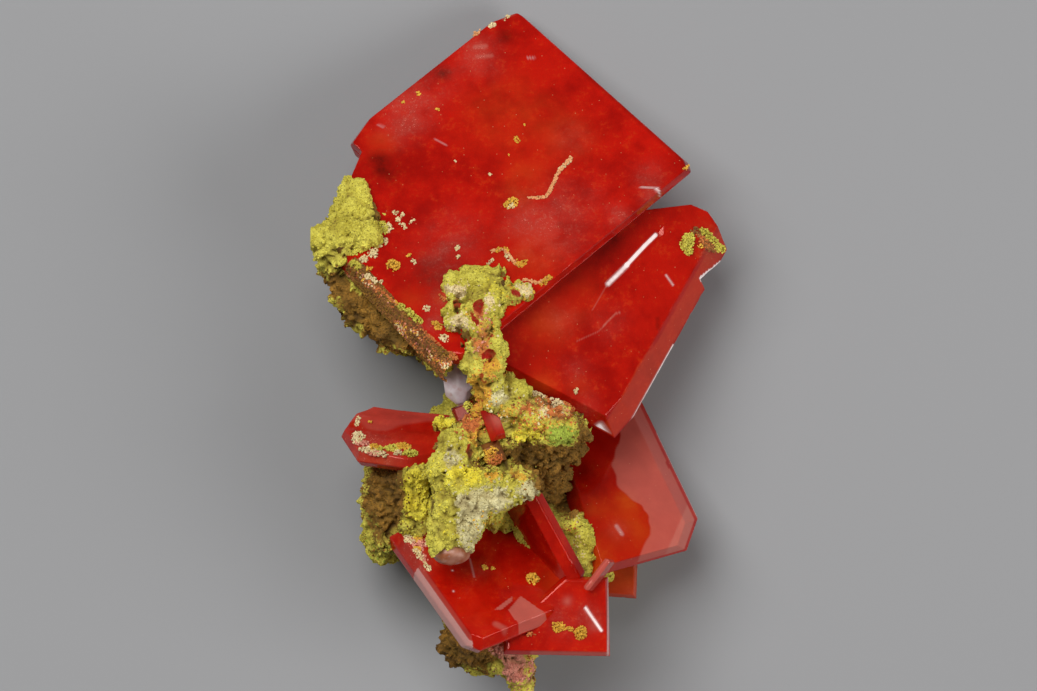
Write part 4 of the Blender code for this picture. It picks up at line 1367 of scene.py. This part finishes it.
# Each spot is (x, y, half length, half width, height) on a crystal's front face, under its shade
MAIN_HEAPS = {
    "crust": [
        (-4.6, -6.8, 1.3, 0.7, 0.5), (-3.4, -7.4, 1.2, 1.1, 0.7), (-2.6, -8.6, 1.1, 1.0, 0.7),
        (-3.0, -9.6, 0.9, 0.6, 0.5), (-2.0, -6.6, 0.6, 0.4, 0.3), (-2.6, -7.2, 0.8, 0.6, 0.3),
        (-1.1, -9.7, 0.5, 0.3, 0.4), (3.1, -9.7, 0.35, 0.25, 0.3), (3.8, -9.6, 0.45, 0.3, 0.4),
        (4.5, -9.6, 0.35, 0.3, 0.3),
    ],
    "cream": [
        (-2.2, -5.3, 0.2, 0.16, 0.12), (-1.8, -5.1, 0.15, 0.15, 0.1), (-1.7, -5.5, 0.18, 0.2, 0.12),
        (-1.2, -5.6, 0.3, 0.22, 0.15), (-1.0, -5.0, 0.08, 0.4, 0.06), (-1.7, -6.4, 0.35, 0.4, 0.2),
        (-2.0, -8.2, 0.4, 0.5, 0.2), (-1.2, -7.4, 0.3, 0.45, 0.15), (-1.0, -8.3, 0.35, 0.4, 0.2),
        (-1.1, -9.0, 0.3, 0.3, 0.2), (1.2, -6.9, 0.22, 0.16, 0.12), (0.0, -9.7, 0.22, 0.25, 0.2),
        (0.5, -9.6, 0.35, 0.2, 0.2), (0.9, -9.4, 0.2, 0.25, 0.15), (2.4, -4.3, 0.2, 0.25, 0.12),
        (2.9, -4.7, 0.14, 0.14, 0.08), (6.6, -9.3, 0.35, 0.25, 0.2), (4.3, -8.6, 0.3, 0.3, 0.05),
        (4.6, -3.5, 0.16, 0.35, 0.12), (5.1, -2.5, 0.3, 0.25, 0.15), (2.5, 0.2, 0.3, 0.3, 0.2),
        (2.7, 4.6, 0.18, 0.6, 0.14), (-0.1, 0.8, 0.12, 0.12, 0.08), (-2.3, -0.1, 0.08, 0.08, 0.05),
        (-8.0, 8.3, 0.2, 0.3, 0.1), (-7.8, 9.4, 0.15, 0.3, 0.08),
    ],
    "amber": [
        (-0.8, 3.7, 0.26, 0.22, 0.1), (-1.2, 4.8, 0.06, 0.06, 0.04), (-0.3, 2.6, 0.1, 0.08, 0.05),
        (-7.6, 1.6, 0.14, 0.2, 0.08), (-5.9, 1.7, 0.14, 0.12, 0.08), (-7.8, 0.5, 0.1, 0.08, 0.06),
        (8.2, 9.9, 0.15, 0.3, 0.12), (0.5, -8.0, 0.45, 0.42, 0.45), (0.7, -6.8, 0.2, 0.2, 0.15),
        (-0.4, -9.2, 0.22, 0.25, 0.15), (4.3, -2.6, 0.2, 0.3, 0.12), (4.6, -2.2, 0.3, 0.15, 0.12),
        (5.8, -2.4, 0.45, 0.2, 0.15), (6.1, -2.1, 0.2, 0.3, 0.12), (8.0, -2.0, 0.22, 0.6, 0.2),
        (2.4, 0.3, 0.42, 0.5, 0.22), (5.6, -9.0, 0.4, 0.25, 0.2),
    ],
    "peach": [
        (-8.3, 7.3, 0.2, 0.35, 0.12), *chain([(2.6, 5.2), (2.75, 4.4), (2.8, 4.0)], 0.16),
        *chain([(2.8, 4.0), (3.4, 2.7)], 0.12), *chain([(3.4, 2.7), (3.6, 2.2), (3.2, 1.7)], 0.10),
        *chain([(3.2, 1.7), (2.8, 1.3)], 0.07), *chain([(7.0, -2.9), (7.8, -2.4), (8.05, -1.6)], 0.12),
        *chain([(4.1, -2.9), (4.5, -2.3), (5.2, -2.4), (6.0, -2.5)], 0.12),
    ],
    "rust": [
        (4.4, -7.4, 0.35, 0.2, 0.08), (1.8, -9.8, 1.2, 0.12, 0.12), (6.0, -9.85, 1.2, 0.1, 0.12),
        (7.9, -9.8, 0.5, 0.25, 0.25),
    ],
    "olive": [(-0.6, -10.0, 0.6, 0.2, 0.2), (2.6, -9.95, 1.4, 0.1, 0.1), (7.4, -10.0, 0.8, 0.2, 0.2)],
}
RIGHT_HEAPS = {
    "crust": [
        (7.0, -2.2, 0.65, 0.5, 0.45), (6.6, -2.5, 0.4, 0.3, 0.3), (8.1, -2.9, 0.3, 0.5, 0.4),
        (8.0, -3.6, 0.25, 0.4, 0.35), (7.8, -4.2, 0.3, 0.5, 0.4),
    ],
    "amber": [(-7.2, 2.0, 0.5, 0.8, 0.4), (7.2, -3.0, 0.2, 0.25, 0.2)],
    "rust": [(-6.9, 0.8, 0.4, 0.5, 0.5), (-6.4, -0.6, 0.3, 0.6, 0.4), (7.7, -3.2, 0.5, 0.9, 0.05)],
    "umber": [(7.6, -3.4, 0.5, 0.8, 0.06), (7.9, -2.4, 0.3, 0.5, 0.1)],
    "cream": [(-5.2, -0.6, 0.25, 0.15, 0.15), (-7.0, 1.2, 0.5, 0.8, 0.5), (-6.6, -0.1, 0.4, 0.8, 0.5)],
}
BOTTOM_HEAPS = {
    "cream": [
        (-4.9, -2.3, 0.6, 0.5, 0.15), (-3.9, -1.4, 0.5, 0.35, 0.15), (-3.6, -2.5, 0.7, 0.25, 0.15),
        (-2.5, -2.5, 0.4, 0.2, 0.15),
    ],
    "pink": [(-4.4, -2.0, 0.9, 0.6, 0.06), (-3.4, -2.4, 0.7, 0.3, 0.06)],
    "amber": [
        (-4.7, -1.9, 0.4, 0.4, 0.2), (-3.9, -2.4, 0.3, 0.3, 0.2), (-0.9, 0.8, 0.25, 0.18, 0.15),
        (-0.6, 1.2, 0.2, 0.18, 0.15), (1.1, 3.1, 0.45, 0.4, 0.45),
    ],
}
LEDGE_HEAPS = {
    "amber": [(-0.8, -0.1, 0.45, 0.35, 0.3), (0.6, -0.45, 0.4, 0.5, 0.4), (-0.1, -0.25, 0.3, 0.15, 0.2)],
    "rust": [(-2.5, -0.6, 0.4, 0.15, 0.15)],
}
LEFT_HEAPS = {
    "cream": [
        (-3.1, -0.9, 0.5, 0.6, 0.12), (-2.3, -2.0, 0.6, 0.35, 0.12), (-1.3, -2.3, 0.5, 0.3, 0.15),
        (-0.3, -2.1, 0.3, 0.25, 0.15), (-3.4, 0.6, 0.15, 0.5, 0.08),
    ],
    "pink": [(-2.7, -1.4, 0.5, 0.3, 0.08), (-1.6, -2.3, 0.6, 0.25, 0.1)],
    "crust": [(-0.7, -1.7, 0.5, 0.35, 0.2), (0.5, -2.1, 0.5, 0.3, 0.35), (-1.5, -1.8, 0.3, 0.2, 0.12)],
    "amber": [(-0.1, -1.5, 0.6, 0.4, 0.2), (-1.9, -1.7, 0.4, 0.3, 0.15), (-2.6, 0.6, 0.12, 0.12, 0.1)],
}
BLADE_HEAPS = {
    "crust": [(0.0, -1.4, 2.0, 0.5, 0.3)],
}
LOWER_BUD_HEAPS = {
    "amber": [(0.0, 0.0, 0.6, 0.6, 0.2)],
    "rust": [(0.1, -0.2, 0.55, 0.5, 0.25)],
}
SIDE_BUD_HEAPS = {
    "rust": [(0.3, -0.4, 0.4, 0.3, 0.15)],
    "crust": [(0.5, 0.3, 0.3, 0.3, 0.2)],
}
HEAPS = [
    (MAIN, MAIN_HEAPS), (RIGHT, RIGHT_HEAPS), (BOTTOM, BOTTOM_HEAPS), (LEDGE, LEDGE_HEAPS),
    (LEFT, LEFT_HEAPS), (BLADE, BLADE_HEAPS), (LOWER_BUD, LOWER_BUD_HEAPS), (SIDE_BUD, SIDE_BUD_HEAPS),
]
HEAP_GRAIN = 0.06  # radius of a typical grain, and the shares of it from the least to the largest
HEAP_SIZES = (0.6, 1.35)
HEAP_COVER = 2.1  # how many layers of grains cover each spot
HEAP_EDGE = (0.6, 1.1)  # where the grains may end, as shares of the way out, and how much that frays
HEAP_FRAY = 0.45


def heaped(crystal, spots, dice):
    """(centres, radii) of grains on a crystal's face. Each spot is an oval, frayed by noise. Its
    grains thin out towards its edge, and lie up to its height, highest in the middle."""
    centres, radii = [], []
    for x, y, half_x, half_y, height in spots:
        count = int(HEAP_COVER * half_x * half_y / HEAP_GRAIN**2 * (0.6 + height / HEAP_GRAIN / 6)) + 3
        distance = np.sqrt(dice.random(count))
        around = dice.uniform(0, math.tau, count)
        flat = np.stack([distance * np.cos(around), distance * np.sin(around)], 1)
        place = np.column_stack([flat * (half_x, half_y) + (x, y), np.zeros(count)])
        kept = distance + HEAP_FRAY * clouds(place, 0.45, 71, 2) < dice.uniform(*HEAP_EDGE, count)
        size = HEAP_GRAIN * dice.uniform(*HEAP_SIZES, count)
        level = crystal["thickness"] / 2 + height * (1 - distance**2) * dice.random(count) + 0.2 * size
        place[:, 2] = level
        centres.append(place[kept])
        radii.append(size[kept])
    return from_crystal(np.concatenate(centres), crystal), np.concatenate(radii)


def upwards(count):
    """So many normals that point straight up."""
    return np.tile((0.0, 0.0, 1.0), (count, 1))


made = {"main_face_grains": [], "other_face_grains": []}
for number, (crystal, shades) in enumerate(HEAPS):
    dice = np.random.default_rng(200 + number)
    heaps = made["main_face_grains" if crystal is MAIN else "other_face_grains"]
    heaps += [(*heaped(crystal, spots, dice), kind) for kind, spots in shades.items()]
for number, (name, heaps) in enumerate(made.items()):
    centres = np.concatenate([centre for centre, _, _ in heaps])
    radii = np.concatenate([radius for _, radius, _ in heaps])
    kinds = np.concatenate([np.full(len(radius), kind) for _, radius, kind in heaps])
    grains(name, centres, radii, upwards(len(centres)), np.random.default_rng(210 + number), kinds)

# Brown crumbs on the main crystal's lower left rim: spread evenly along it and over its two slopes
# and the edge of its face, kept where a streaky noise is high, and shaded in streaks
RIM_CRUMBS = 8000
CRUMB_SIZES = (0.035, 0.085)  # radii
RIM_ENDS = (-1.6, 8.3)  # where they lie along the rim, and across it from its lower edge upwards
RIM_WIDTH = (-0.72, 1.4)
RIM_PLACE, RIM_SLANT = -10.34, -0.0875  # the rim's line at the middle plane, in the crystal's frame
dice = np.random.default_rng(220)
along, across = dice.uniform(*RIM_ENDS, RIM_CRUMBS), dice.uniform(*RIM_WIDTH, RIM_CRUMBS)
level = np.minimum(across, MAIN["thickness"] / 2)
size = dice.uniform(*CRUMB_SIZES, RIM_CRUMBS)
inward = np.abs(level) / math.tan(math.radians(STEEP)) + across - level
depth = RIM_PLACE + RIM_SLANT * along - 0.2 * size + inward
place = np.column_stack([along, depth, level])
kept = clouds(place * (0.5, 1, 1), 0.5, 72, 3) > dice.uniform(-1.0, 0.45, RIM_CRUMBS)
place, size = place[kept], size[kept]
streak = clouds(place * (0.3, 1, 1), 0.4, 73, 3) + dice.uniform(-0.3, 0.3, len(size))
bounds = [streak < -0.15, streak < 0.25, streak < 0.38, streak < 0.46, streak < 0.54]
kinds = np.select(bounds, ["olive", "umber", "rust", "pink", "amber"], "cream")
grains("rim_grains", from_crystal(place, MAIN), size, upwards(len(size)), dice, kinds)

# ---------------------------------------------------------------------------------------------
# The stage: a plain pale floor under the specimen, soft lamps, and a camera straight above.
FLOOR_HALF = 2  # metres
FLOOR_GREY = (0.295, 0.295, 0.30, 1)
ROOM_LIGHT = 0.12
floor_mesh = bpy.data.meshes.new("floor")
sides = [(-1, -1), (1, -1), (1, 1), (-1, 1)]
floor_mesh.from_pydata([(x * FLOOR_HALF, y * FLOOR_HALF, 0) for x, y in sides], [], [range(4)])
floor = bpy.data.objects.new("floor", floor_mesh)
bpy.context.scene.collection.objects.link(floor)
floor_finish, floor_shader, _, _ = new_finish("floor")
floor_shader.inputs["Base Color"].default_value = FLOOR_GREY
floor_shader.inputs["Roughness"].default_value = 0.9
floor_shader.inputs["Specular IOR Level"].default_value = 0.2
floor_mesh.materials.append(floor_finish)

world = bpy.data.worlds.new("studio")
world.use_nodes = True
bpy.context.scene.world = world
background = world.node_tree.nodes["Background"]
background.inputs["Color"].default_value = (1, 1, 1, 1)
background.inputs["Strength"].default_value = ROOM_LIGHT


def towards(azimuth, elevation):
    """The unit vector to a compass azimuth, clockwise from +Y, and an elevation, in degrees."""
    around, up = math.radians(azimuth), math.radians(elevation)
    return np.array([math.sin(around) * math.cos(up), math.cos(around) * math.cos(up), math.sin(up)])


def soft_lamp(name, azimuth, elevation, distance, width, height, power):
    """A rectangular lamp that faces the specimen."""
    lamp = bpy.data.lights.new(name, "AREA")
    lamp.shape = "RECTANGLE"
    lamp.size, lamp.size_y, lamp.energy = width, height, power
    holder = bpy.data.objects.new(name, lamp)
    holder.location = (towards(azimuth, elevation) * distance).tolist()
    holder.rotation_euler = (math.radians(90 - elevation), 0, math.radians(180 - azimuth))
    bpy.context.scene.collection.objects.link(holder)
    return holder


soft_lamp("key lamp", -36, 60, distance=0.75, width=0.5, height=0.5, power=5.6)
soft_lamp("fill lamp", 112, 36, distance=0.8, width=0.5, height=0.45, power=3.4)

VIEW_DISTANCE = 0.8  # metres from the camera to the specimen's middle plane
VIEW_SCALE = 0.0648125  # metres of the specimen's middle plane across the whole picture
VIEW_PLANE = 0.0085  # the height of that plane
VIEW_CENTRE = (-0.00003, -0.00003)
SENSOR = 36.0  # millimetres
lens = bpy.data.cameras.new("view")
lens.sensor_width = SENSOR
lens.lens = SENSOR * VIEW_DISTANCE / VIEW_SCALE
camera = bpy.data.objects.new("view", lens)
camera.location = (*VIEW_CENTRE, VIEW_PLANE + VIEW_DISTANCE)
bpy.context.scene.collection.objects.link(camera)
bpy.context.scene.camera = camera
bpy.context.scene.view_settings.view_transform = "Standard"
